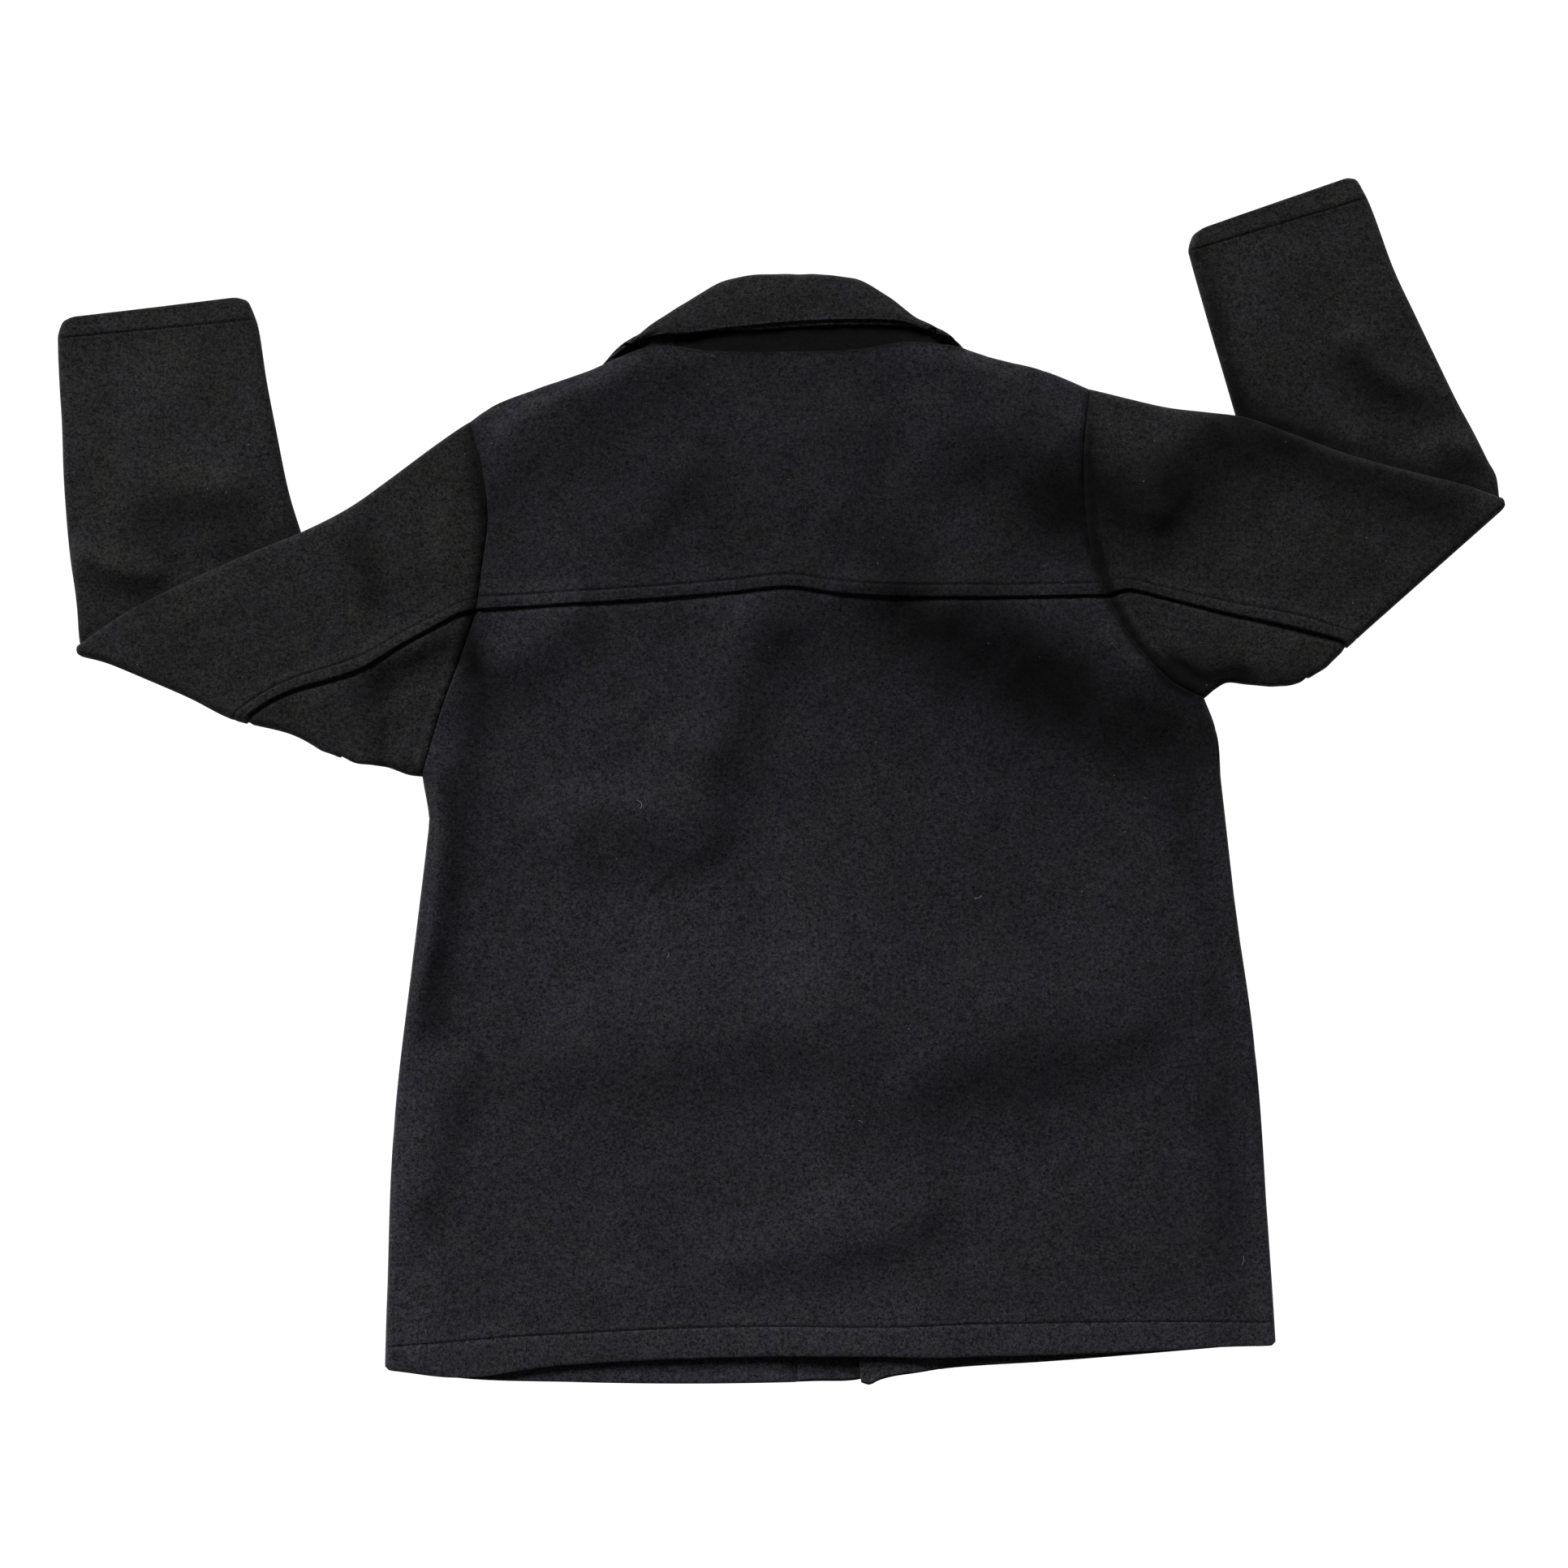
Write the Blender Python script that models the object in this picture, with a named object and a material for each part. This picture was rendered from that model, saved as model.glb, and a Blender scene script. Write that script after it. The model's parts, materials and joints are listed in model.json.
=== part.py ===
"""A wool field jacket that lies face down: back up, fronts under it, both sleeves folded up at the elbow.

Sizes are in millimetres and the meshes in metres. Seen from above, X runs to the right, Y towards the
collar and Z up from the surface that the jacket lies on. Left and right are the wearer's. Each piece of
the cut is a wall of cloth between two grids of points, one grid for each side of the cloth.
"""

import math

import bmesh
import bpy
import numpy as np

MM = 0.001
CLOTH = 2.0  # melton, one ply
TURNED = 3.6  # the same cloth turned up on itself, at hems and cuffs
SEAM = 0.3  # the gap between pieces that are sewn together
AIR = 0.8  # the gap between layers that only lie on each other
LAP = 9.5  # width of the lapped seams, from their edge to the topstitching
LAP_WALL = 2.9  # thickness of the lap, whose edge is folded in
LAP_RAISE = 1.6  # how far a lap stands above the cloth beside it
LAP_SINK = 1.6  # how far the cloth under a lap lies below its own level
LAP_CLEAR = 6.0  # where that cloth is back at its own level, past the lap's edge
HEM = 22.0  # depth of the turned hem
ROLL = 7.0  # how far in from a folded edge the cloth is still rolling over
ROLL_STEPS = (0.0, 0.234, 1.0)  # shares of ROLL, for 0, 40 and 90 degrees of roll
LYING = 7.8  # front and back lying on each other, with the air between them
LEAF_STACK = 4.8  # the two plies of the collar's leaf and some air, under the fronts
STAND_STACK = 1.8  # how much higher the yoke lies over the collar's stand
FACING = 1.8  # the front facings' thickness
MIDDLE = (9.0, -80.0)  # a point well inside the body, seen from above

# Outlines seen from above, as (x, y).
LEFT_SIDE = ((-306, -451), (-304, -386), (-299, -267), (-286, -148), (-275, -58), (-272, -29), (-277, 3))
RIGHT_SIDE = ((377, -432), (370, -326), (361, -207), (345, -88), (335, 1), (331, 38), (322, 63))
LEFT_SHOULDER = ((-241, 275), (-228, 284), (-192, 299), (-148, 314), (-121, 326))
RIGHT_SHOULDER = ((234, 300), (198, 314), (157, 324), (139, 330))
BACK_NECK = ((-121, 326), (-95, 331), (-60, 328), (0, 327), (55, 329), (90, 334), (139, 330))
YOKE_EDGE = ((-236, 131), (-153, 136), (-89, 140), (-40, 144), (5, 148), (40, 143), (125, 140), (247, 142))
BACK_HEM = ((-306, -451), (-261, -457), (-176, -448), (-53, -442), (83, -440), (166, -444), (377, -432))
LEFT_HEM = ((-306, -451), (-261, -458), (-165, -462), (-41, -463), (55, -460), (84, -459))
RIGHT_HEM = ((61, -464), (74, -462), (120, -451), (207, -444), (377, -432))
LEFT_FRONT_NECK = ((-121, 326), (-102, 290), (-62, 254), (-10, 240), (25, 238))
RIGHT_FRONT_NECK = ((139, 330), (120, 293), (80, 256), (30, 240), (-1, 239))

# Armholes from shoulder point to underarm: the seen one behind, with the row where the yoke's lap ends,
# and the more hollowed one in front.
ARMHOLES = {
    "left": {
        "back": ((-241, 275), (-231, 238), (-227, 200), (-232, 160), (-236, 131), (-246, 99), (-262, 55), (-277, 3)),
        "lap_row": 4,
        "front": ((-241, 275), (-224, 240), (-215, 195), (-217, 150), (-226, 105), (-243, 55), (-277, 3)),
        "outward": -1,
    },
    "right": {
        "back": ((234, 300), (229, 253), (231, 202), (239, 160), (247, 142), (268, 105), (296, 76), (322, 63)),
        "lap_row": 4,
        "front": ((234, 300), (218, 262), (211, 215), (217, 165), (236, 122), (270, 88), (322, 63)),
        "outward": 1,
    },
}

# Where the front edges meet, from hem to neck, and how far each front reaches past that line.
CENTRE_FRONT = ((-458, 240), (73, 12))
OVERLAP = 13.0

# The body's largest folds: each runs from one point to another, and falls away over its width.
#        x0    y0    x1    y1  width height
FOLDS = (
    (-10, 130, -62, -20, 20, 4.5),
    (95, 132, 150, 60, 26, 2.6),
    (-262, 40, -268, -150, 13, 3.2),
    (-235, 60, -262, -180, 12, -1.6),
    (-180, -18, -60, -58, 16, 2.4),
    (-215, -215, 110, -150, 34, 3.4),
    (60, -240, 290, -165, 30, 3.8),
    (-50, -362, 120, -318, 24, 2.4),
    (200, 95, 275, 35, 24, -1.8),
    (130, 245, 215, 215, 18, 2.6),
    (-190, 225, -130, 262, 22, 1.8),
    (345, -20, 352, -300, 14, 1.6),
    (-112, 318, -88, 318, 24, 5.4),
    (106, 322, 130, 322, 24, 5.4),
)

# Sleeve sections from armhole to cuff. a is on the top edge, b on the underarm edge; low is the height
# of the underside, thick that of the flattened sleeve, seam the lap's place from a (0) to b (1), and
# arm says how much of the armhole's shape the section still has. The row with turn 1 is the axis about
# which the sleeve folds under itself; the rows after it lie upside down.
SLEEVE_COLUMNS = ("ax", "ay", "bx", "by", "low", "thick", "seam", "arm", "turn")
SLEEVES = {
    "left": (
        (-249, 270, -286, 4, 0.0, 10.6, 0.54, 0.90, 0),
        (-272, 254, -295, 7, 0.0, 9.4, 0.59, 0.60, 0),
        (-304, 230, -303, 10, 1.0, 8.8, 0.61, 0.30, 0),
        (-334, 208, -311, 12, 5.4, 8.2, 0.63, 0.10, 0),
        (-366, 191, -319, 15, 8.2, 7.8, 0.65, 0.0, 0),
        (-410, 173, -326, 18, 8.2, 7.2, 0.68, 0.0, 0),
        (-455, 153, -331, 20, 8.2, 6.8, 0.71, 0.0, 0),
        (-502, 129, -334, 21, 8.2, 6.4, 0.73, 0.0, 0),
        (-537, 106, -339, 22, 8.2, 6.2, 0.74, 0.0, 1),
        (-541, 122, -341, 46, 0.0, 7.6, 0.74, 0.0, 0),
        (-544, 145, -346, 86, 0.0, 7.6, 0.74, 0.0, 0),
        (-548, 173, -354, 130, 0.0, 7.6, 0.74, 0.0, 0),
        (-551, 205, -366, 176, 0.0, 7.6, 0.74, 0.0, 0),
        (-553, 238, -380, 222, 0.0, 8.0, 0.74, 0.0, 0),
        (-554, 272, -389, 266, 0.0, 8.4, 0.74, 0.0, 0),
        (-556, 306, -397, 308, 0.0, 8.6, 0.74, 0.0, 0),
        (-557, 334, -403, 347, 0.0, 8.8, 0.74, 0.0, 0),
        (-557, 338, -405, 351, 0.0, 9.8, 0.74, 0.0, 0),
        (-553, 353, -414, 368, 0.0, 9.8, 0.74, 0.0, 0),
    ),
    "right": (
        (243, 298, 330, 69, 0.0, 10.6, 0.61, 0.90, 0),
        (264, 293, 340, 73, 0.0, 9.4, 0.69, 0.60, 0),
        (295, 286, 350, 74, 0.8, 8.8, 0.73, 0.30, 0),
        (324, 282, 360, 75, 4.4, 8.2, 0.755, 0.10, 0),
        (350, 278, 370, 76, 8.2, 7.8, 0.785, 0.0, 0),
        (388, 265, 379, 78, 8.2, 7.2, 0.81, 0.0, 0),
        (432, 249, 386, 79, 8.2, 6.8, 0.82, 0.0, 0),
        (480, 236, 391, 80, 8.2, 6.4, 0.83, 0.0, 0),
        (520, 226, 395, 81, 8.2, 6.2, 0.83, 0.0, 0),
        (549, 216, 400, 84, 8.2, 6.2, 0.83, 0.0, 1),
        (547, 232, 396, 106, 0.0, 7.6, 0.83, 0.0, 0),
        (540, 246, 388, 138, 0.0, 7.6, 0.83, 0.0, 0),
        (530, 266, 377, 176, 0.0, 7.6, 0.83, 0.0, 0),
        (516, 292, 364, 222, 0.0, 7.6, 0.83, 0.0, 0),
        (500, 325, 350, 268, 0.0, 7.6, 0.83, 0.0, 0),
        (484, 358, 337, 312, 0.0, 8.4, 0.83, 0.0, 0),
        (468, 392, 324, 356, 0.0, 8.6, 0.83, 0.0, 0),
        (448, 440, 311, 397, 0.0, 8.8, 0.83, 0.0, 0),
        (446, 444, 310, 401, 0.0, 9.8, 0.83, 0.0, 0),
        (436, 461, 313, 416, 0.0, 9.8, 0.83, 0.0, 0),
    ),
}
BENEATH = (7.6, 0.8)  # thickness of the part folded under, and the air between it and the part above
TURN_STEPS = (0, 45, 90, 135, 180)  # degrees

# Collar sections from the left front end, round the back of the neck, to the right front end. n is the
# seam end, f the top of the roll and l the leaf's edge. out turns the side that the leaf falls to: 90 is
# up, 180 to the left, 0 to the right and 270 down. gap is the height of the roll and bend its angle. ply
# is the cloth's thickness, which is pressed thin where the collar turns from the back to the fronts.
COLLAR_COLUMNS = ("nx", "ny", "nz", "fx", "fy", "fz", "lx", "ly", "lz", "out", "gap", "bend", "ply")
COLLAR = (
    (-12, 231, 9.4, -6, 253, 5.8, -40, 172, 2.2, 270, 7.2, 180, 2),
    (-30, 235, 9.4, -20, 257, 5.8, -68, 186, 2.2, 270, 7.2, 180, 2),
    (-54, 245, 9.4, -42, 265, 5.8, -97, 207, 2.2, 270, 7.2, 180, 2),
    (-84, 264, 9.4, -66, 282, 5.8, -122, 236, 2.2, 269, 7.2, 180, 2),
    (-110, 290.5, 11.5, -86.5, 305.5, 6.1, -141.5, 276.5, 2.3, 271, 6.6, 194, 1.5),
    (-109.5, 301, 9.2, -100, 321.5, 6.4, -144.5, 315.5, 2, 235, 6.3, 135, 1),
    (-109.5, 309, 10.8, -111, 330.5, 6.4, -131.5, 325, 5.7, 229, 6.9, 139, 1),
    (-108, 315, 11.2, -109.5, 337.5, 11, -126, 327.5, 9.1, 177, 6.9, 103, 1),
    (-107, 321, 12, -106.5, 340, 12.7, -119, 329, 13, 143, 6.7, 117, 1),
    (-96, 323.5, 13.3, -102.5, 345, 13.9, -104, 337.5, 18.3, 120, 7.3, 177, 1),
    (-91.5, 323, 11.7, -91.5, 355, 8.5, -101, 332, 15.4, 77, 7.4, 133, 1),
    (-74, 318.5, 10.8, -67, 364.5, 8.2, -77.5, 334.5, 13.2, 114, 6.8, 156, 1.5),
    (-48, 321, 9.8, -45, 381, 5.8, -48, 345, 11.8, 91, 6.6, 180, 2),
    (-18, 320, 9.6, -16, 386, 5.6, -18, 348, 11.4, 90, 6.6, 180, 2),
    (18, 320, 9.6, 20, 386, 5.6, 18, 351, 11.4, 90, 6.6, 180, 2),
    (52, 323, 9.8, 52, 383, 5.8, 52, 352, 11.8, 89, 6.6, 180, 2),
    (84, 327, 12.5, 83.5, 368.5, 5.3, 82, 348, 11.4, 78, 7.2, 137, 1.5),
    (114, 326, 15.1, 108, 352.5, 13.4, 105, 345, 13.5, 87, 6.1, 186, 1),
    (118.5, 323.5, 12.8, 120.5, 346.5, 14, 131, 339, 17.6, 63, 5.5, 155, 1),
    (125, 322.5, 13.6, 123.5, 341, 10.1, 136.5, 337.5, 15, 6, 7.4, 155, 1),
    (126, 320, 12.1, 126, 334.5, 11, 149.5, 337, 11.2, -28, 5.4, 69, 1),
    (124.5, 322, 10.3, 125, 334.5, 7, 154.5, 324.5, 3.4, -54, 7.2, 91, 1),
    (122.5, 309, 8.7, 118, 322.5, 5.9, 160, 309.5, 1.8, -71, 6.9, 174, 1),
    (122, 292, 9, 109, 307, 6.2, 155.5, 279, 2, -69, 8.2, 200, 1.5),
    (102, 267, 9.4, 84, 285, 5.8, 140, 238, 2.2, -89, 7.2, 180, 2),
    (72, 246, 10, 60, 267, 6.1, 115, 208, 2.2, -90, 7.8, 180, 2),
    (48, 238, 11.4, 38, 260, 6.8, 87, 187, 2.2, -90, 9.2, 180, 2),
    (31, 235, 12.2, 24, 256, 7.2, 58, 173, 2.2, -90, 10, 180, 2),
)
ROLL_STOPS = (0, 1 / 3, 2 / 3, 1)  # round the collar's roll, from its stand to its leaf

BUTTON_ROWS = (195, 70, -60, -190, -320)
BUTTON_RADIUS = 10.0
BUTTON_HEIGHT = 3.0
BUTTON_RISE = 3.4  # how far the buttons lift the left front, which lies on them


def table(columns, rows):
    """The rows as a dict from each column's name to its values."""
    return dict(zip(columns, np.array(rows, float).T))


def along(points, shares):
    """Points on a smooth curve through the given ones, at shares (0 to 1) of its length."""
    points = np.array(points, float)
    knots = np.concatenate([[0], np.cumsum(np.linalg.norm(np.diff(points, axis=0), axis=1))])
    slopes = np.gradient(points, knots, axis=0)
    at = np.asarray(shares, float) * knots[-1]
    i = np.clip(np.searchsorted(knots, at, side="right") - 1, 0, len(knots) - 2)
    span = (knots[i + 1] - knots[i])[:, None]
    s = (at - knots[i])[:, None] / span
    start = points[i] * (1 + 2 * s) * (1 - s) ** 2 + slopes[i] * span * s * (1 - s) ** 2
    end = points[i + 1] * (3 - 2 * s) * s**2 - slopes[i + 1] * span * s**2 * (1 - s)
    return start + end


def length_of(points):
    """Length of the path through the points."""
    return float(np.linalg.norm(np.diff(np.array(points, float), axis=0), axis=1).sum())


def ease(share):
    """0 to 1 with no sudden start or stop."""
    share = np.clip(share, 0, 1)
    return share * share * (3 - 2 * share)


def nearest(path, x, y):
    """(nearest point of a path, distance to it) for each point seen from above."""
    best = np.full(np.shape(x), np.inf)
    found = np.zeros(np.shape(x) + (2,))
    point = np.stack([x, y], axis=-1)
    for start, end in zip(np.array(path[:-1], float), np.array(path[1:], float)):
        run = end - start
        share = np.clip((point - start) @ run / (run @ run), 0, 1)
        on_path = start + share[..., None] * run
        distance = np.linalg.norm(point - on_path, axis=-1)
        closer = distance < best
        best = np.where(closer, distance, best)
        found = np.where(closer[..., None], on_path, found)
    return found, best


FOLDED_EDGES = (LEFT_SIDE, RIGHT_SIDE, LEFT_SHOULDER, RIGHT_SHOULDER)


def folded_edge(x, y):
    """(nearest point of the body's folded edges, distance to it)."""
    found, best = nearest(FOLDED_EDGES[0], x, y)
    for edge in FOLDED_EDGES[1:]:
        other, distance = nearest(edge, x, y)
        closer = distance < best
        found = np.where(closer[..., None], other, found)
        best = np.where(closer, distance, best)
    return found, best


def rolled(distance):
    """Share of its full height that the cloth has at a distance in from a folded edge."""
    near = 1 - np.clip(distance / ROLL, 0, 1)
    return np.sqrt(np.clip(1 - near * near, 0, 1))


def centre_front(y):
    return np.interp(y, *CENTRE_FRONT)


def neck_rise(x, y):
    """How far the collar's leaf lifts the fronts that lie on it."""
    reach = np.hypot((x - 9) / 215, (y - 262) / 140)
    return LEAF_STACK * (1 - ease((reach - 0.8) / 0.45))


def left_low(x, y):
    """Height of the left front's underside, which lies on the floor, the collar and the buttons."""
    beside = (np.abs(x - centre_front(y)) - 15) / 26
    above_facing = ease((y + 410) / 50)
    neck = neck_rise(x, y)
    return neck + BUTTON_RISE * (1 - ease(beside)) * above_facing * (1 - neck / LEAF_STACK)


def right_low(x, y):
    """Height of the right front's underside: on the left front where they overlap."""
    over_facing = (FACING + SEAM) * (1 - ease((y + 385) / 30))
    on_left = left_low(x, y) + CLOTH + AIR + over_facing
    past = ease((x - centre_front(y) - OVERLAP - 12) / 32)
    return on_left * (1 - past) + neck_rise(x, y) * past


def fold_height(x, y):
    """The body's folds: a soft ridge or trough along each row's line."""
    total = np.zeros(np.shape(x))
    for x0, y0, x1, y1, width, height in FOLDS:
        _, distance = nearest(((x0, y0), (x1, y1)), x, y)
        total = total + height * np.exp(-((distance / width) ** 2))
    return total


def armhole_relief(x, y):
    """Seam allowances lift the cloth beside an armhole, and the seam itself pulls it in."""
    total = np.zeros(np.shape(x))
    for hole in ARMHOLES.values():
        _, distance = nearest(hole["back"], x, y)
        total = total + 2.4 * np.exp(-((distance / 26) ** 2)) - 1.5 * np.exp(-((distance / 4) ** 2))
    return total


def back_top(x, y):
    """Height of the back's outer face, away from the folded edges."""
    reach = np.hypot((x - 9) / 165, (y - 290) / 90)
    stand = STAND_STACK * (1 - ease((reach - 0.8) / 0.4))
    _, from_hem = nearest(BACK_HEM, x, y)
    _, from_edge = folded_edge(x, y)
    hem = 3.8 * (1 - ease((from_hem - 20) / 60))
    overlap = 3.2 * (1 - ease((np.abs(x - centre_front(y) - 8) - 26) / 46)) * (1 - ease((y - 262) / 40))
    side = 2.2 * np.exp(-((from_edge / 22) ** 2)) * (1 - ease((y - 200) / 60))
    return (
        LYING + neck_rise(x, y) + stand + hem + overlap + side + fold_height(x, y) * ease((from_edge - 2) / 12)
        + armhole_relief(x, y) * (1 - 0.6 * ease((y - 230) / 60))
    )


def inward(x, y):
    """Level direction in from the nearest folded edge."""
    to_middle = np.stack([MIDDLE[0] - x, MIDDLE[1] - y], axis=-1)
    to_middle /= np.linalg.norm(to_middle, axis=-1, keepdims=True)
    inside = np.stack([x, y], axis=-1) + 1.5 * to_middle
    edge, _ = folded_edge(inside[..., 0], inside[..., 1])
    away = inside - edge
    return away / np.maximum(np.linalg.norm(away, axis=-1, keepdims=True), 1e-9)


def body_wall(plan, layer, low, thickness, lift=0.0):
    """(outer grid, inner grid) of a body panel: layer 1 is the back, -1 a front whose underside is low."""
    x, y = plan[..., 0], plan[..., 1]
    _, distance = folded_edge(x, y)
    share = rolled(distance)
    bottom = low(x, y)
    middle = (back_top(x, y) + bottom) / 2
    reach = back_top(x, y) + lift - middle if layer > 0 else middle - bottom
    height = middle + layer * np.maximum(reach * share, SEAM / 2)
    outer = np.dstack([x, y, height])
    level = np.sqrt(np.clip(1 - share**2, 0, 1))[..., None] * inward(x, y)
    step = np.dstack([level, -layer * share])
    return outer, outer + step * np.broadcast_to(thickness, x.shape)[..., None]


def patch(left, right, bottom, top, shares):
    """Plan points that fill four edges: left and right run up the panel, bottom and top across it."""
    up_left = np.concatenate([[0], np.cumsum(np.linalg.norm(np.diff(left, axis=0), axis=1))])
    up_right = np.concatenate([[0], np.cumsum(np.linalg.norm(np.diff(right, axis=0), axis=1))])
    v = ((up_left / up_left[-1] + up_right / up_right[-1]) / 2)[:, None, None]
    u = np.asarray(shares)[None, :, None]
    across = (1 - u) * left[:, None] + u * right[:, None]
    up = (1 - v) * bottom[None] + v * top[None]
    corners = (1 - v) * ((1 - u) * left[0] + u * right[0]) + v * ((1 - u) * left[-1] + u * right[-1])
    return across + up - corners


def pinned(points, start, end):
    """The points moved, less and less from each end, so that they run from start to end."""
    points = np.array(points, float)
    share = np.linspace(0, 1, len(points))[:, None]
    return points + (1 - share) * (np.array(start) - points[0]) + share * (np.array(end) - points[-1])


def between(start, end, count):
    """count values spread evenly between start and end, without either."""
    return list(np.linspace(start, end, count + 2)[1:-1])


def armhole_stops(side):
    """Distances from the shoulder point at which the pieces round an armhole have their points."""
    hole = ARMHOLES[side]
    back, front = length_of(hole["back"]), length_of(hole["front"])
    lap = length_of(hole["back"][: hole["lap_row"] + 1])
    start = [ROLL * s for s in ROLL_STEPS]
    upper = start + between(ROLL, lap - LAP, 3) + [lap - LAP, lap - LAP * 0.65, lap]
    finish = [back - ROLL * s for s in reversed(ROLL_STEPS)]
    lower = [lap - LAP * 0.65, lap + 1, lap + LAP_CLEAR] + between(lap + LAP_CLEAR, back - ROLL, 2) + finish
    under = start + between(ROLL, front - ROLL, 5) + [front - ROLL * s for s in reversed(ROLL_STEPS)]
    return {"upper": upper, "lower": lower, "under": under}


def armhole_plan(side, layer, stops, offset):
    """Points of an armhole seen from above, moved offset towards the sleeve."""
    points = ARMHOLES[side]["back" if layer > 0 else "front"]
    shares = np.array(stops) / length_of(points)
    plan = along(points, np.clip(shares, 0, 1))
    ahead = along(points, np.clip(shares + 0.004, 0, 1)) - along(points, np.clip(shares - 0.004, 0, 1))
    normal = np.stack([ahead[:, 1], -ahead[:, 0]], axis=1)
    normal /= np.linalg.norm(normal, axis=1, keepdims=True)
    return plan + normal * np.sign(normal[:, :1]) * ARMHOLES[side]["outward"] * offset


def side_rows(side, count):
    """Plan points up a side seam, from the hem's edge over its stitching to just under the armhole."""
    path = LEFT_SIDE if side == "left" else RIGHT_SIDE
    total = length_of(path)
    stops = [0, HEM - 1, HEM + 1] + between(HEM + 1, total, count)
    return along(path, np.array(stops) / total)


WOOL_COLOUR = (0.0150, 0.0145, 0.0180)
BUTTON_COLOUR = (0.0180, 0.0150, 0.0130)


def material(name, colour, roughness):
    """A plain, non-metallic finish."""
    made = bpy.data.materials.new(name)
    made.use_nodes = True
    shader = made.node_tree.nodes["Principled BSDF"]
    shader.inputs["Base Color"].default_value = (*colour, 1)
    shader.inputs["Roughness"].default_value = roughness
    shader.inputs["Metallic"].default_value = 0.0
    return made


def add_object(name, mesh_data, finish):
    mesh = bpy.data.meshes.new(name)
    mesh_data.to_mesh(mesh)
    mesh_data.free()
    mesh.shade_smooth()
    mesh.set_sharp_from_angle(angle=math.radians(50))
    mesh.materials.append(finish)
    made = bpy.data.objects.new(name, mesh)
    bpy.context.scene.collection.objects.link(made)
    return made


def wall(name, outer, inner):
    """One closed wall of cloth between two matching grids of points."""
    rows, columns = outer.shape[:2]
    shape = bmesh.new()
    over = [[shape.verts.new(point * MM) for point in row] for row in outer]
    under = [[shape.verts.new(point * MM) for point in row] for row in inner]
    for i in range(rows - 1):
        for j in range(columns - 1):
            for a, b, c in ((0, 1, 3), (0, 3, 2)):
                corners = [(i + k // 2, j + k % 2) for k in (a, b, c)]
                shape.faces.new([over[m][n] for m, n in corners])
                shape.faces.new([under[m][n] for m, n in reversed(corners)])
    rim = [(0, j) for j in range(columns)] + [(i, columns - 1) for i in range(1, rows)]
    rim += [(rows - 1, j) for j in range(columns - 2, -1, -1)] + [(i, 0) for i in range(rows - 2, 0, -1)]
    for (i, j), (k, m) in zip(rim, rim[1:] + rim[:1]):
        shape.faces.new((over[k][m], over[i][j], under[i][j]))
        shape.faces.new((over[k][m], under[i][j], under[k][m]))
    if shape.calc_volume(signed=True) < 0:
        bmesh.ops.reverse_faces(shape, faces=shape.faces)
    return add_object(name, shape, material(f"wool_{name}", WOOL_COLOUR, 0.95))


def back_shares():
    """Columns across the back and its yoke, with one on each end of the neck."""
    width = RIGHT_SHOULDER[0][0] - LEFT_SHOULDER[0][0]
    first = (LEFT_SHOULDER[-1][0] - LEFT_SHOULDER[0][0]) / width
    last = (RIGHT_SHOULDER[-1][0] - LEFT_SHOULDER[0][0]) / width
    edge = [ROLL * s / width for s in ROLL_STEPS]
    left = edge + between(edge[-1], first, 3) + [first]
    right = [last] + between(last, 1 - edge[-1], 3) + [1 - s for s in reversed(edge)]
    return np.array(left), np.array(between(first, last, 9)), np.array(right)


def make_back():
    """The lower back, from its hem to the margin that lies under the yoke's lap."""
    edges = []
    for side in ("left", "right"):
        lower = armhole_stops(side)["lower"]
        edges.append(np.vstack([side_rows(side, 7), armhole_plan(side, 1, lower[::-1], -SEAM / 2)]))
    shares = np.concatenate(back_shares())
    bottom = pinned(along(BACK_HEM, shares), edges[0][0], edges[1][0])
    top = pinned(along(YOKE_EDGE, shares) + (0, LAP * 0.65), edges[0][-1], edges[1][-1])
    plan = patch(*edges, bottom, top, shares)
    edge_y = along(YOKE_EDGE, shares)[1:-1, 1]
    plan[-2, 1:-1, 1] = edge_y - 1
    plan[-3, 1:-1, 1] = edge_y - LAP_CLEAR
    thickness = np.full(plan.shape[:2], CLOTH)
    thickness[:2] = TURNED
    lift = np.zeros(plan.shape[:2])
    lift[-2:] = -LAP_SINK
    return wall("back", *body_wall(plan, 1, neck_rise, thickness, lift))


def make_yoke():
    """The back yoke, from its lap over the lower back to the shoulder seams and the neck."""
    edges = []
    for side in ("left", "right"):
        edges.append(armhole_plan(side, 1, armhole_stops(side)["upper"][::-1], -SEAM / 2))
    left, neck, right = back_shares()
    top = np.vstack([
        along(LEFT_SHOULDER, left / left[-1]),
        along(BACK_NECK, (neck - left[-1]) / (right[0] - left[-1])),
        along(RIGHT_SHOULDER, (1 - right) / (1 - right[0])),
    ])
    top = pinned(top, edges[0][-1], edges[1][-1])
    shares = np.concatenate((left, neck, right))
    bottom = pinned(along(YOKE_EDGE, shares), edges[0][0], edges[1][0])
    plan = patch(*edges, bottom, top, shares)
    for row, step in ((1, 0.65), (2, 1.0)):
        plan[row, 1:-1, 1] = bottom[1:-1, 1] + LAP * step
    for row, step in zip((-3, -2), reversed(ROLL_STEPS[1:])):
        plan[row, 1:-1, 1] = plan[-1, 1:-1, 1] - ROLL * step
    thickness = np.full(plan.shape[:2], CLOTH)
    thickness[:2] = LAP_WALL
    lift = np.zeros(plan.shape[:2])
    lift[:2] = LAP_RAISE
    return wall("back_yoke", *body_wall(plan, 1, neck_rise, thickness, lift))


FRONT_COLUMNS = (0, 0.02, 0.055, 0.18, 0.30, 0.42, 0.55, 0.68, 0.80, 0.81, 0.87, 0.93, 1.0)
AT_NECK = FRONT_COLUMNS.index(0.42)  # the column that ends where the shoulder meets the neck
AT_FACING = FRONT_COLUMNS.index(0.81)  # the column where the turned hem ends and the facing starts


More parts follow.
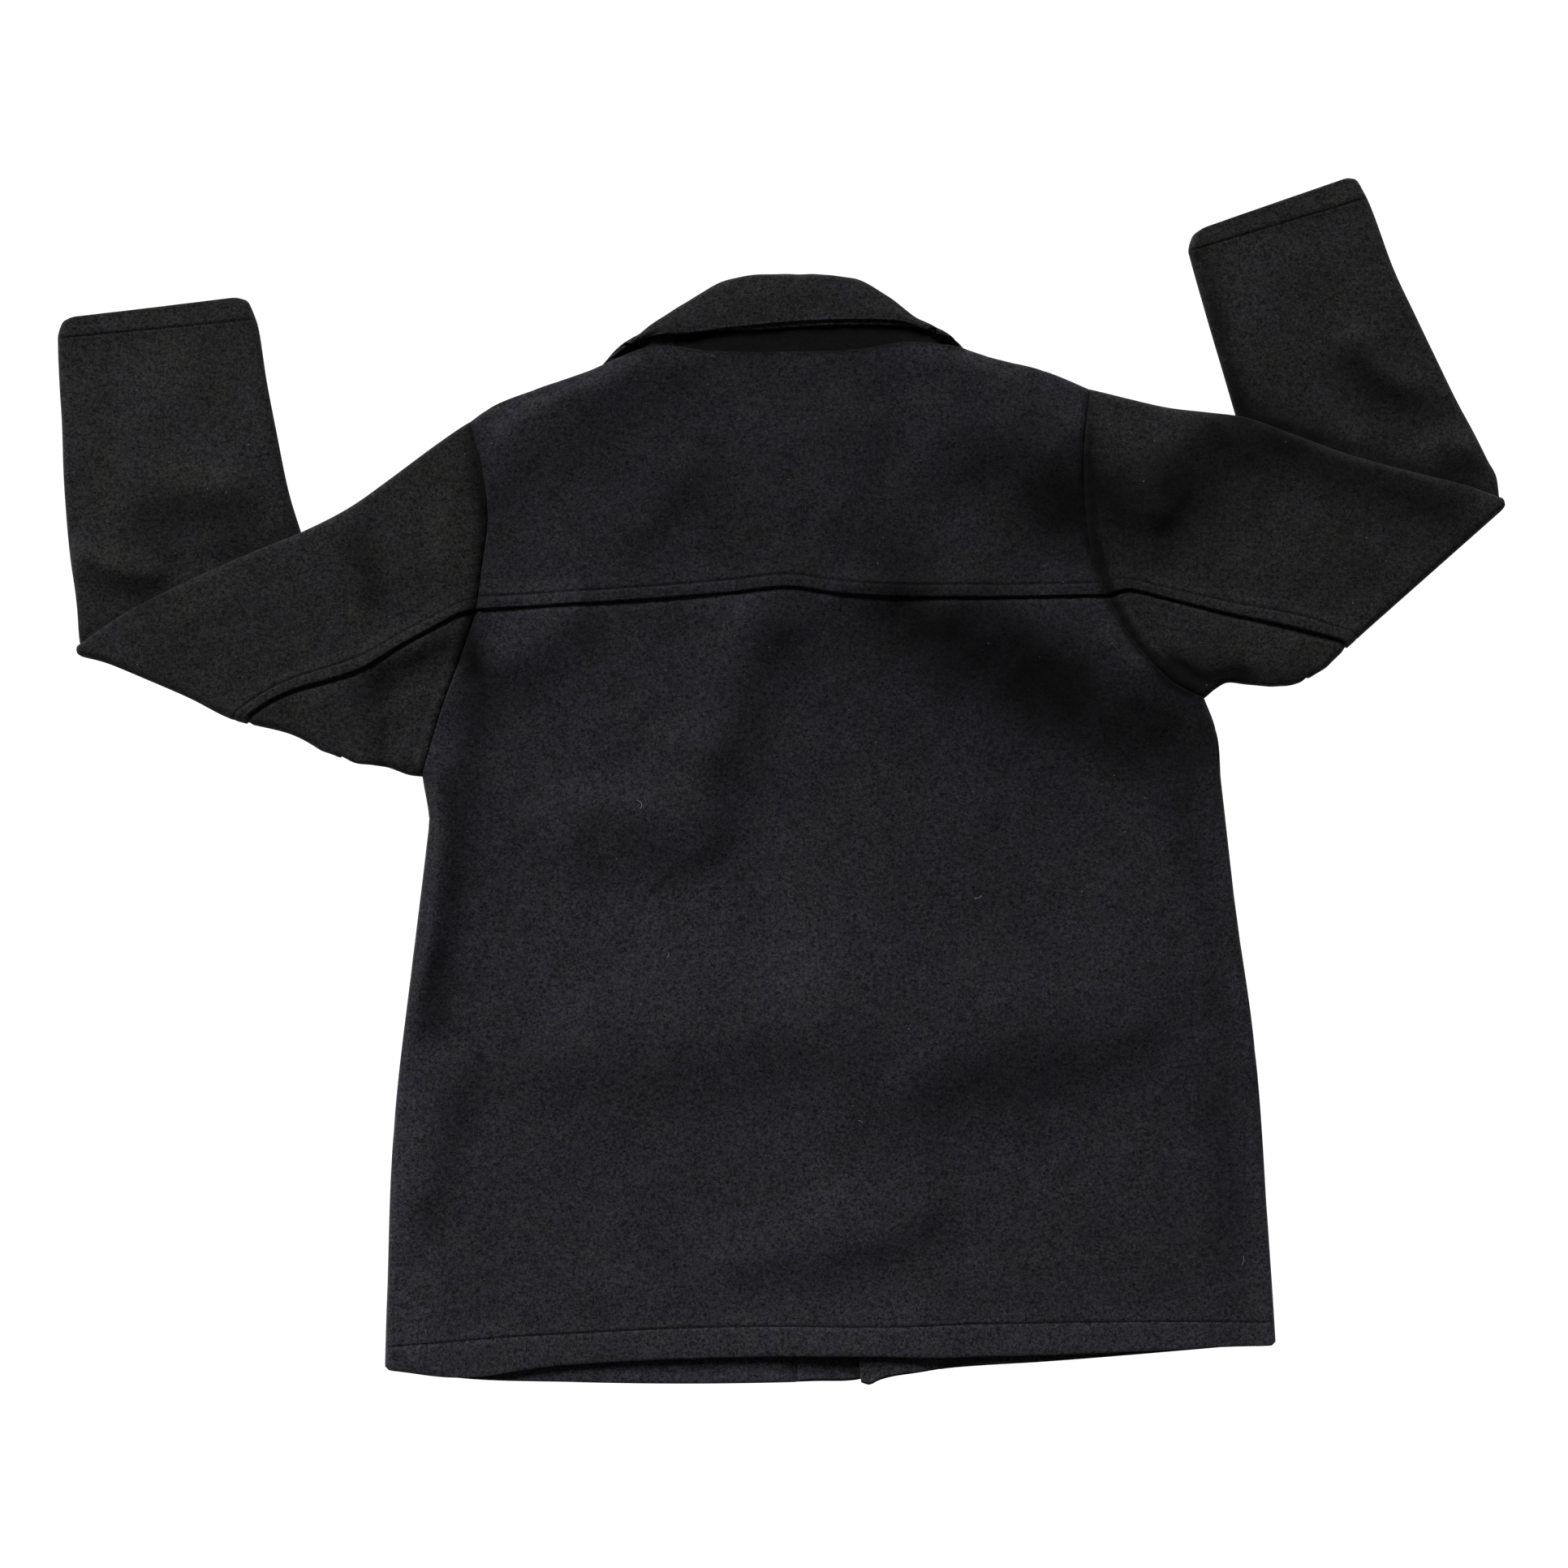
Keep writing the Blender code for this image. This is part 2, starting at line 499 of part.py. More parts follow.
def front_plan(side):
    """Plan points of a front, from hem to shoulder and neck and from side seam to front edge."""
    left = side == "left"
    shoulder, neck = (LEFT_SHOULDER, LEFT_FRONT_NECK) if left else (RIGHT_SHOULDER, RIGHT_FRONT_NECK)
    hem = LEFT_HEM if left else RIGHT_HEM[::-1]
    under = armhole_stops(side)["under"]
    outer = np.vstack([side_rows(side, 7), armhole_plan(side, -1, under[::-1], -SEAM / 2)])
    shares = np.array(FRONT_COLUMNS)
    corner = shares[AT_NECK]
    top = np.vstack([
        along(shoulder, shares[: AT_NECK + 1] / corner),
        along(neck, (shares[AT_NECK + 1 :] - corner) / (1 - corner)),
    ])
    top = pinned(top, outer[-1], neck[-1])
    bottom = pinned(along(hem, shares), outer[0], hem[-1])
    rise = np.concatenate([[0], np.cumsum(np.linalg.norm(np.diff(outer, axis=0), axis=1))])
    edge = bottom[-1] + (rise / rise[-1])[:, None] * (top[-1] - bottom[-1])
    plan = patch(outer, edge, bottom, top, shares)
    for row, step in zip((-3, -2), reversed(ROLL_STEPS[1:])):
        plan[row, 1:AT_NECK, 1] = plan[-1, 1:AT_NECK, 1] - ROLL * step
    return plan


def make_front(side):
    """A front, whose hem is turned up as far as its facing, and the facing's lowest stretch."""
    plan = front_plan(side)
    low = left_low if side == "left" else right_low
    thickness = np.full(plan.shape[:2], CLOTH)
    thickness[:2, :AT_FACING] = TURNED
    outer, inner = body_wall(plan, -1, low, thickness)
    wall(f"front_{side}", outer, inner)
    under = inner[:4, AT_FACING:] + (0, 0, SEAM)
    under[0] += (under[1] - under[0]) * 0.07
    under[:, 0] += (under[:, 1] - under[:, 0]) * 0.04
    return wall(f"facing_{side}", under + (0, 0, FACING), under)


def sleeve_stops(length, seam):
    """Distances from the top edge round a flattened sleeve, for its top piece and its under piece."""
    start = [ROLL * s for s in ROLL_STEPS]
    finish = [length - ROLL * s for s in reversed(ROLL_STEPS)]
    over = start + between(ROLL, seam - LAP, 3) + [seam - LAP, seam - LAP * 0.65, seam]
    below = start[1:] + between(ROLL, length - ROLL, 5) + finish
    under = [seam - LAP * 0.65, seam + 1, seam + LAP_CLEAR] + between(seam + LAP_CLEAR, length - ROLL, 2) + finish
    return over[::-1], below, under


def ring_profile(stops, length, thick):
    """(height above the sleeve's middle, level share, rise share) at each distance from the top edge."""
    to_edge = np.minimum(stops, length - np.array(stops))
    share = rolled(to_edge)
    inside = np.where(np.array(stops) < length / 2, 1.0, -1.0)
    return thick / 2 * share, inside * np.sqrt(np.clip(1 - share**2, 0, 1)), share


def sleeve_ring(row, piece, under_itself):
    """A section of a sleeve piece before it is placed: (distance, height, inner distance, inner height).

    The part that lies under itself (share under_itself) rests on its lap, so all the lap's thickness
    goes inwards.
    """
    length = math.hypot(row["bx"] - row["ax"], row["by"] - row["ay"])
    over, below, under = sleeve_stops(length, row["seam"] * length)
    cuff = row["thick"] > 9 and row["low"] == 0 and row["arm"] == 0
    ply = TURNED if cuff else CLOTH
    raised = LAP_RAISE * (1 - under_itself)
    if piece == "under":
        height, level, rise = ring_profile(under, length, row["thick"])
        height[:2] -= LAP_SINK + LAP_RAISE - raised
        height[-1] = SEAM / 2
        walls = np.full(len(under), ply)
        walls[:2] = CLOTH
        return np.array(under), height, np.array(under) + level * walls, height - rise * walls
    height, level, rise = ring_profile(over, length, row["thick"])
    walls = np.full(len(over), ply)
    walls[:2] = LAP_WALL
    height[:2] += raised
    top = [np.array(over), height, np.array(over) + level * walls, height - rise * walls]
    height, level, rise = ring_profile(below, length, row["thick"])
    height[-1] = SEAM / 2
    bottom = [np.array(below), -height, np.array(below) + level * ply, rise * ply - height]
    return tuple(np.concatenate(pair) for pair in zip(top, bottom))


def armhole_ring(side, piece):
    """(outer points, inner points) of a sleeve piece where it meets the armhole."""
    stops = armhole_stops(side)
    parts = []
    if piece == "under":
        layers = [(1, stops["lower"])]
    else:
        layers = [(1, stops["upper"][::-1]), (-1, stops["under"][1:])]
    for layer, distances in layers:
        plan = armhole_plan(side, layer, distances, SEAM / 2)[None]
        lift = np.zeros((1, len(distances)))
        thickness = np.full((1, len(distances)), CLOTH)
        if piece == "under":
            lift[0, :2] = -LAP_SINK
        elif layer > 0:
            lift[0, :2] = LAP_RAISE
            thickness[0, :2] = LAP_WALL
        outer, inner = body_wall(plan, layer, neck_rise, thickness, lift)
        total = length_of(ARMHOLES[side]["back" if layer > 0 else "front"])
        _, level, _ = ring_profile(distances, total, 0.0)
        down = along_direction(side, layer, distances)
        inner[0, :, :2] = outer[0, :, :2] + (level * thickness[0])[:, None] * down
        parts.append((outer[0], inner[0]))
    return np.vstack([p[0] for p in parts]), np.vstack([p[1] for p in parts])


def along_direction(side, layer, stops):
    """Unit direction of the armhole's line, from shoulder to underarm, at each stop."""
    points = ARMHOLES[side]["back" if layer > 0 else "front"]
    shares = np.array(stops) / length_of(points)
    ahead = along(points, np.clip(shares + 0.004, 0, 1)) - along(points, np.clip(shares - 0.004, 0, 1))
    return ahead / np.linalg.norm(ahead, axis=1, keepdims=True)


def placed_ring(row, piece, angle):
    """A section's outer and inner points in place, turned by angle about the fold if it is on it."""
    a, b = np.array([row["ax"], row["ay"]]), np.array([row["bx"], row["by"]])
    run = (b - a) / np.linalg.norm(b - a)
    outward = np.array([run[1], -run[0]]) * np.sign(run[1] * row["out_x"] - run[0] * row["out_y"])
    turn = math.radians(angle)
    up = np.array([*(outward * math.sin(turn)), math.cos(turn)])
    centre = np.array([0, 0, row["low"] + row["thick"] / 2])
    share = angle / 180
    if row["turn"]:
        beneath, air = BENEATH
        row = dict(row, thick=row["thick"] * (1 - share) + beneath * share)
        top, bottom = centre[2], beneath / 2
        centre = np.array([0, 0, (top + bottom) / 2]) + (top - bottom) / 2 * up
    distance, height, inner_distance, inner_height = sleeve_ring(row, piece, share)
    base = np.array([*a, 0.0]) + centre
    run3 = np.array([*run, 0.0])
    outer = base + distance[:, None] * run3 + height[:, None] * up
    inner = base + inner_distance[:, None] * run3 + inner_height[:, None] * up
    return outer, inner


def make_sleeve(side, piece):
    """A sleeve piece, lofted through its sections and turned under itself at the elbow."""
    columns = table(SLEEVE_COLUMNS, SLEEVES[side])
    rows = [{name: values[i] for name, values in columns.items()} for i in range(len(SLEEVES[side]))]
    turning = next(i for i, row in enumerate(rows) if row["turn"])
    a0, b0 = ARMHOLES[side]["back"][0], ARMHOLES[side]["back"][-1]
    for row in rows:
        row["out_x"], row["out_y"] = ARMHOLES[side]["outward"], -0.8
    start_outer, start_inner = armhole_ring(side, piece)
    flat = dict(rows[0], ax=a0[0], ay=a0[1], bx=b0[0], by=b0[1])
    flat_outer, flat_inner = placed_ring(flat, piece, 0)
    sections = [(start_outer, start_inner)]
    for i, row in enumerate(rows):
        if row["turn"]:
            sections += [placed_ring(row, piece, angle) for angle in TURN_STEPS]
            continue
        outer, inner = placed_ring(row, piece, 0 if i < turning else 180)
        outer = outer + row["arm"] * (start_outer - flat_outer) * (1, 1, 0.5)
        inner = inner + row["arm"] * (start_inner - flat_inner) * (1, 1, 0.5)
        sections.append((outer, inner))
    return wall(f"sleeve_{side}_{piece}", *(np.array(grid) for grid in zip(*sections)))


def collar_line(row):
    """(points, directions out of the fold) across the collar: up its stand, over its roll, down its leaf."""
    seam_end = np.array([row["nx"], row["ny"], row["nz"]])
    crest = np.array([row["fx"], row["fy"], row["fz"]])
    edge = np.array([row["lx"], row["ly"], row["lz"]])
    turn = math.radians(row["out"])
    up = np.array([row["fx"] - row["nx"], row["fy"] - row["ny"], 0.0])
    up /= np.linalg.norm(up)
    side = np.array([math.cos(turn), 0.0, math.sin(turn)])
    side -= up * (side @ up)
    side /= np.linalg.norm(side)
    bend = math.radians(row["bend"])
    facing = [math.sin(s * bend) * up - math.cos(s * bend) * side for s in (*ROLL_STOPS, 0.5)]
    centre = crest - row["gap"] / 2 * facing.pop()
    roll = [centre + row["gap"] / 2 * direction for direction in facing]
    stand = [seam_end + s * (roll[0] - seam_end) for s in (0.0, 0.5)]
    leaf = [roll[-1] + s * (edge - roll[-1]) for s in (0.34, 0.67, 1.0)]
    return np.array(stand + roll + leaf), np.array([facing[0]] * 2 + facing + [facing[-1]] * 3)


def normals(grid, facing):
    """Directions square to a grid of points, on the side that facing points to."""
    rows, columns = np.gradient(grid, axis=0), np.gradient(grid, axis=1)
    square = np.cross(rows, columns)
    square /= np.linalg.norm(square, axis=-1, keepdims=True)
    return square * np.sign((square * facing).sum(axis=-1, keepdims=True))


def make_collar():
    """The under collar and the top collar, one ply on each side of the line through every section."""
    columns = table(COLLAR_COLUMNS, COLLAR)
    rows = [{name: values[i] for name, values in columns.items()} for i in range(len(COLLAR))]
    middle, facing = (np.array(grid) for grid in zip(*(collar_line(row) for row in rows)))
    out = normals(middle, facing)
    far = SEAM / 2 + columns["ply"][:, None, None]
    wall("collar_top", middle + out * far, middle + out * SEAM / 2)
    wall("collar_under", middle - out * far, middle - out * SEAM / 2)


def make_button(number, y):
    """A flat round button with a raised rim, face down under the left front."""
    x = float(centre_front(y))
    top = float(left_low(np.array(x), np.array(float(y)))) - SEAM - 0.1
    profile = ((0, 0), (0.7, 0), (1.0, 0.35), (1.0, 0.7), (0.92, 1.0), (0, 1.0))
    shape = bmesh.new()
    points = [shape.verts.new((r * BUTTON_RADIUS * MM, 0, h * BUTTON_HEIGHT * MM)) for r, h in profile]
    edges = [shape.edges.new(pair) for pair in zip(points, points[1:])]
    bmesh.ops.spin(
        shape, geom=points + edges, axis=(0, 0, 1), cent=(0, 0, 0), angle=math.tau, steps=16, use_merge=True
    )
    bmesh.ops.remove_doubles(shape, verts=shape.verts, dist=1e-6)
    bmesh.ops.recalc_face_normals(shape, faces=shape.faces)
    bmesh.ops.translate(shape, verts=shape.verts, vec=(x * MM, y * MM, (top - BUTTON_HEIGHT) * MM))
    return add_object(f"button_{number}", shape, material(f"horn_{number}", BUTTON_COLOUR, 0.35))


def build():
    for old in list(bpy.data.objects):
        bpy.data.objects.remove(old, do_unlink=True)
    make_back()
    make_yoke()
    for side in ("left", "right"):
        make_front(side)
        make_sleeve(side, "top")
        make_sleeve(side, "under")
    make_collar()
    for number, y in enumerate(BUTTON_ROWS, start=1):
        make_button(number, y)


build()
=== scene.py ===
"""Looks of a black wool field jacket that lies face down, with both sleeves folded under at the elbow.

The pieces are thin cloth shells, each on the form of its solid in the frame. Sizes are in millimetres and
become metres where a mesh is made. X is to the right seen from above, Y towards the collar, Z up.
"""

import json
import math

import bpy
import mathutils
import numpy as np
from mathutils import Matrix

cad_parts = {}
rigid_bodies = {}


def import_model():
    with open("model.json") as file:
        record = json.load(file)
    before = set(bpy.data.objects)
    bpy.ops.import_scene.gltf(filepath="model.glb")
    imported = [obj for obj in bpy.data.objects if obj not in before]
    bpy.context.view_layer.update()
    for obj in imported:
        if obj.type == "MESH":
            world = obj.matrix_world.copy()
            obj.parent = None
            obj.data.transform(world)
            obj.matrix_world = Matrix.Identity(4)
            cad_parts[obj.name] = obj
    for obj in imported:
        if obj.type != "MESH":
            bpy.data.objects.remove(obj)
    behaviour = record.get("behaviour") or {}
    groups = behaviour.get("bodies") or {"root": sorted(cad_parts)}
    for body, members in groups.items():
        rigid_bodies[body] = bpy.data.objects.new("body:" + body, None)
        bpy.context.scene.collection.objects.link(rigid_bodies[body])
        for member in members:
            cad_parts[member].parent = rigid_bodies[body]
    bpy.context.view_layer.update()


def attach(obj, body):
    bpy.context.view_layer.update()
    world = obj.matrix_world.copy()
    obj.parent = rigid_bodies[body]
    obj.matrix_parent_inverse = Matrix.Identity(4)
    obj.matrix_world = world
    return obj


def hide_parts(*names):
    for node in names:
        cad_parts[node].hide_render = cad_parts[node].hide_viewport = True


MM = 0.001
CLOTH = 2.0  # one ply of melton
TURNED = 3.6  # two plies, at hems and cuffs
SEAM = 0.3  # gap between pieces that meet
AIR = 0.8  # gap between layers that lie on each other
LAP = 9.5  # lapped seams, from their edge to the topstitching
UNDERLAP = LAP * 0.65  # how far a piece runs on beneath the lap that covers it
LAP_WALL = 2.4  # thickness of the cloth at a lap
LAP_RAISE = 1.3  # how far a lap stands up
LAP_SINK = 1.4  # how far the cloth beneath it is pressed down
LAP_CLEAR = 6.0  # how far past the lap's edge that cloth has risen again
HEM = 22.0  # how deep the hem is turned up
ROLL = 7.0  # how far in from a folded edge the cloth is still rolling over
ROLL_ROWS = 5  # rows of points on that stretch
LYING = 7.8  # height of the back's outer face where it lies on the two fronts
LEAF_STACK = 4.8  # how far the collar's leaf lifts the body at the neck
STAND_STACK = 1.8  # how far its stand lifts the back above that
PLACKET_LIFT = 3.4  # how far the left front's edge is lifted by what lies beneath it
FACING = 1.8  # thickness of a facing
MIDDLE = (9.0, -80.0)  # of the body, seen from above
STEP = 3.4  # spacing of a shell's points
FURROW = (-1.8, -0.75, 0.0, 0.75, 1.8)  # rows beside a line of stitching
BESIDE = 3.4  # how far from such a line the closer rows end
FURROW_DEPTH = 0.85
LINE_SHADE = 0.4  # painted shade in the furrow of a topstitched line, as a share of its depth
CUFF_LINE_SHADE = 0.2  # the same at the cuffs

LEFT_SIDE = ((-306, -451), (-304, -386), (-299, -267), (-286, -148), (-275, -58), (-272, -29), (-277, 3))
RIGHT_SIDE = ((377, -432), (370, -326), (361, -207), (345, -88), (335, 1), (331, 38), (322, 63))
LEFT_SHOULDER = ((-241, 275), (-228, 284), (-192, 299), (-148, 314), (-121, 326))
RIGHT_SHOULDER = ((234, 300), (198, 314), (157, 324), (139, 330))
BACK_NECK = ((-121, 326), (-95, 331), (-60, 328), (0, 327), (55, 329), (90, 334), (139, 330))
YOKE_EDGE = ((-236, 131), (-153, 136), (-89, 140), (-40, 144), (5, 148), (40, 143), (125, 140), (247, 142))
BACK_HEM = (
    (-306, -451), (-261, -457), (-176, -448), (-53, -442),
    (83, -440), (125, -441), (170, -440.5), (377, -432),
)
LEFT_HEM = (
    (-306, -451), (-261, -458), (-165, -462), (-41, -463),
    (24, -461.5), (58, -460), (68, -457.5), (84, -450),
)
RIGHT_HEM = (
    (59, -461), (65, -463), (73, -459.5), (82, -457),
    (98, -454.5), (125, -451.5), (207, -446), (377, -432),
)
LEFT_FRONT_NECK = ((-121, 326), (-102, 290), (-62, 254), (-10, 240), (25, 238))
RIGHT_FRONT_NECK = ((139, 330), (120, 293), (80, 256), (30, 240), (-1, 239))

LAP_ROW = 4  # which point of an armhole's back line lies at the yoke's edge
ARMHOLES = {
    "left": {
        "back": (
            (-241, 275), (-231, 238), (-227, 200), (-232, 160),
            (-236, 131), (-246, 99), (-262, 55), (-277, 3),
        ),
        "front": ((-241, 275), (-224, 240), (-215, 195), (-217, 150), (-226, 105), (-243, 55), (-277, 3)),
        "outward": -1,
    },
    "right": {
        "back": (
            (234, 300), (229, 253), (231, 202), (239, 160),
            (247, 142), (268, 105), (296, 76), (322, 63),
        ),
        "front": ((234, 300), (218, 262), (211, 215), (217, 165), (236, 122), (270, 88), (322, 63)),
        "outward": 1,
    },
}
CENTRE_FRONT = ((-458, 240), (73, 12))  # Y and X of its two ends
OVERLAP = 13.0  # how far each front runs past the centre line

# Sections of the upper arms, from the shoulder to the elbow: the folded edges a and b seen from above, the
# underside's height, the thickness, where the seam lies as a share of the way from a to b, and how far the
# section still has the armhole's form. At the last one the sleeve folds under itself.
UPPER_COLUMNS = ("ax", "ay", "bx", "by", "low", "thick", "seam", "arm")
UPPER_ARMS = {
    "left": (
        (-249, 270, -286, 4, 0.0, 10.6, 0.571, 0.90),
        (-272, 254, -295, 7, 0.0, 9.4, 0.585, 0.60),
        (-304, 230, -303, 10, 1.0, 8.8, 0.598, 0.30),
        (-334, 208, -311, 12, 5.4, 8.2, 0.619, 0.10),
        (-366, 191, -319, 15, 8.2, 7.8, 0.63, 0.0),
        (-410, 173, -326, 18, 8.2, 7.2, 0.638, 0.0),
        (-455, 153, -331, 20, 8.2, 6.8, 0.641, 0.0),
        (-502, 129, -334, 21, 8.2, 6.4, 0.644, 0.0),
        (-537, 106, -339, 22, 8.2, 6.2, 0.651, 0.0),
    ),
    "right": (
        (243, 298, 330, 69, 0.0, 10.6, 0.613, 0.90),
        (264, 293, 340, 73, 0.0, 9.4, 0.658, 0.60),
        (295, 286, 350, 74, 0.8, 8.8, 0.706, 0.30),
        (324, 282, 360, 75, 4.4, 8.2, 0.746, 0.10),
        (350, 278, 370, 76, 8.2, 7.8, 0.771, 0.0),
        (388, 265, 379, 78, 8.2, 7.2, 0.78, 0.0),
        (432, 249, 386, 79, 8.2, 6.8, 0.784, 0.0),
        (480, 236, 391, 80, 8.2, 6.4, 0.795, 0.0),
        (520, 226, 395, 81, 8.2, 6.2, 0.805, 0.0),
        (549, 216, 400, 84, 8.2, 6.2, 0.824, 0.0),
    ),
}
# Sections of the forearms, which lie on the floor, from elbow to cuff: ax, ay, bx, by and thickness.
FOREARMS = {
    "left": (
        (-541, 122, -341, 46, 7.6),
        (-544, 145, -346, 86, 7.6),
        (-548, 173, -354, 130, 7.6),
        (-551, 205, -366, 176, 7.6),
        (-553, 238, -380, 222, 8.0),
        (-554, 272, -389, 266, 8.4),
        (-556, 306, -397, 308, 8.6),
        (-557, 334, -403, 347, 8.8),
        (-557, 339, -405, 354, 9.8),
        (-553, 354, -412, 371, 9.8),
    ),
    "right": (
        (547, 232, 396, 106, 7.6),
        (540, 246, 388, 138, 7.6),
        (530, 266, 377, 176, 7.6),
        (516, 292, 364, 222, 7.6),
        (500, 325, 350, 268, 7.6),
        (484, 358, 337, 312, 8.4),
        (468, 392, 324, 356, 8.6),
        (449, 443, 311, 402, 8.8),
        (447, 447, 310, 406, 9.8),
        (438, 464, 314, 421, 9.8),
    ),
}
BENEATH = 7.6  # thickness of the forearm where it comes out of the fold
# Level pulls that ease the sleeves' folded edges: centre, reach, move.
PULLS = {
    "left": (
        (-538, 104, 16, -3.0, -3.0), (-424, 56, 22, -1.0, -2.6),
        (-372, 38, 26, 1.5, 5.0), (-330, 19, 14, 0.0, -5.5),
    ),
    "right": ((386, 78, 25, 0.0, -6.4), (340, 74, 11, 0.0, 2.2)),
}

# Sections of the collar, from one front end round the neck to the other: its seam at the neck, its crest
# (f) and the leaf's edge (l), the heading of its outer side, how far apart stand and leaf lie at the crest,
# and through how many degrees the cloth turns there.
COLLAR_COLUMNS = ("nx", "ny", "nz", "fx", "fy", "fz", "lx", "ly", "lz", "out", "gap", "bend")
COLLAR = (
    (-12, 231, 9.4, -6, 253, 5.8, -40, 172, 2.2, 270, 7.2, 180),
    (-30, 235, 9.4, -20, 257, 5.8, -68, 186, 2.2, 270, 7.2, 180),
    (-54, 245, 9.4, -42, 265, 5.8, -97, 207, 2.2, 270, 7.2, 180),
    (-84, 264, 9.4, -66, 282, 5.8, -122, 236, 2.2, 269, 7.2, 180),
    (-107, 290, 9.4, -90, 306, 5.8, -144, 276, 2.2, 264, 7.2, 180),
    (-110, 304, 9.5, -102, 321, 5.7, -144, 308, 2.2, 250, 7.0, 165),
    (-108, 312, 10.2, -108, 331, 7.0, -136, 323, 3.8, 215, 6.8, 130),
    (-108, 315, 11.6, -110, 335, 10.0, -128, 329, 8.5, 180, 6.8, 115),
    (-107, 318, 13.4, -108, 338, 13.0, -121, 333, 13.5, 150, 6.8, 140),
    (-103, 321, 14.2, -101, 345, 14.5, -108, 337, 17.0, 118, 6.0, 170),
    (-92, 322, 12.4, -89, 354, 11.0, -94, 340, 15.6, 95, 6.4, 180),
    (-74, 322, 10.8, -71, 366, 7.6, -75, 341, 13.2, 92, 6.6, 180),
    (-48, 321, 9.8, -45, 381, 5.8, -48, 345, 11.8, 91, 6.6, 180),
    (-18, 320, 9.6, -16, 386, 5.6, -18, 348, 11.4, 90, 6.6, 180),
    (18, 320, 9.6, 20, 386, 5.6, 18, 351, 11.4, 90, 6.6, 180),
    (52, 323, 9.8, 52, 383, 5.8, 52, 352, 11.8, 89, 6.6, 180),
    (84, 327, 10.8, 80, 368, 7.6, 85, 351, 13.2, 88, 6.6, 180),
    (106, 327, 12.4, 100, 352, 11.0, 108, 345, 15.6, 85, 6.4, 180),
    (116, 326, 14.2, 111, 345.5, 14.5, 119, 341, 17.0, 62, 6.0, 170),
    (120, 323, 13.4, 119, 339, 13.0, 131, 335, 13.5, 30, 6.8, 140),
    (121, 320, 11.6, 121, 336, 10.0, 137, 330, 8.5, 0, 6.8, 115),
    (122, 317, 10.2, 120, 333, 7.0, 144, 323, 3.8, -35, 6.8, 130),
    (125, 308, 9.5, 117, 325, 5.7, 154, 308, 2.2, -70, 7.0, 165),
    (125, 293, 9.4, 108, 309, 5.8, 162, 279, 2.2, -84, 7.2, 180),
    (102, 267, 9.4, 84, 285, 5.8, 140, 238, 2.2, -89, 7.2, 180),
    (72, 246, 10.0, 60, 267, 6.1, 115, 208, 2.2, -90, 7.8, 180),
    (48, 238, 11.4, 38, 260, 6.8, 87, 187, 2.2, -90, 9.2, 180),
    (31, 235, 12.2, 24, 256, 7.2, 58, 173, 2.2, -90, 10.0, 180),
)

# Creases, each as the line of its crest or trough, how far it reaches to the left and to the right of
# that line (walking along it), and its height.
BODY_CREASES = (
    (((-12, 146), (-32, 90), (-50, 30), (-64, -12)), 32, 34, 8.0),
    (((-200, -32), (-120, -24), (-62, -28), (-40, -66)), 22, 44, 6.4),
    (((-266, 40), (-264, -30), (-268, -110), (-280, -210)), 15, 14, 5.5),
    (((-228, 82), (-190, 104), (-140, 138)), 22, 30, 4.4),
    (((-246, -196), (-262, -270), (-286, -350)), 17, 25, 3.6),
    (((20, 150), (120, 142)), 10, 16, 2.6),
    (((92, 156), (146, 134), (206, 112), (262, 86), (320, 58)), 34, 54, 11.0),
    (((276, 20), (300, -44), (326, -120)), 18, 14, 2.2),
    (((-214, -204), (-100, -198), (0, -186), (104, -178)), 84, 54, 7.6),
    (((66, -262), (108, -226), (160, -200), (318, -176)), 64, 38, 8.6),
    (((-76, -370), (30, -356), (90, -332), (146, -298)), 28, 24, 5.4),
    (((64, -290), (76, -440)), 5, 5, 0.8),
    (((-226, 250), (-170, 284), (-122, 308)), 16, 32, 4.6),
    (((-112, 180), (-84, 224), (-60, 252)), 20, 18, 2.0),
    (((92, 290), (168, 266), (238, 232)), 34, 40, 6.6),
    (((20, 204), (60, 200), (104, 186)), 26, 22, 1.8),
    (((-220, -404), (-120, -392), (-40, -398)), 22, 18, 1.2),
    (((180, -300), (250, -330), (300, -390)), 30, 30, 1.6),
)
UPPER_CREASES = {
    "left": (
        (((-340, 206), (-326, 166), (-314, 128)), 14, 12, 2.6),
        (((-330, 80), (-292, 100), (-258, 124)), 12, 14, 4.2),
        (((-258, 256), (-254, 196), (-260, 140)), 10, 12, 3.0),
        (((-288, 214), (-284, 160), (-296, 110)), 10, 12, 1.4),
        (((-400, 150), (-470, 120), (-520, 112)), 12, 12, 1.0),
    ),
    "right": (
        (((226, 220), (262, 212), (304, 204)), 14, 14, 4.6),
        (((262, 214), (300, 252), (342, 286)), 22, 32, 6.4),
        (((350, 274), (420, 248), (512, 214)), 14, 26, 5.2),
        (((262, 134), (300, 124), (346, 108)), 12, 12, 2.0),
        (((300, 170), (380, 160), (470, 172)), 18, 18, 1.2),
    ),
}
FOREARM_CREASES = {
    "left": (
        (((-512, 208), (-452, 222), (-398, 224)), 30, 26, 4.0),
        (((-550, 176), (-508, 162), (-470, 152)), 12, 15, 4.6),
        (((-500, 182), (-450, 178), (-410, 186)), 12, 12, 1.6),
        (((-520, 250), (-470, 300), (-480, 340)), 22, 22, 1.0),
    ),
    "right": (
        (((424, 352), (448, 314), (500, 292)), 12, 15, 4.4),
        (((488, 256), (528, 254)), 12, 12, 3.0),
        (((428, 262), (446, 258)), 8, 9, 1.6),
        (((400, 300), (380, 380), (400, 430)), 20, 20, 0.9),
    ),
}
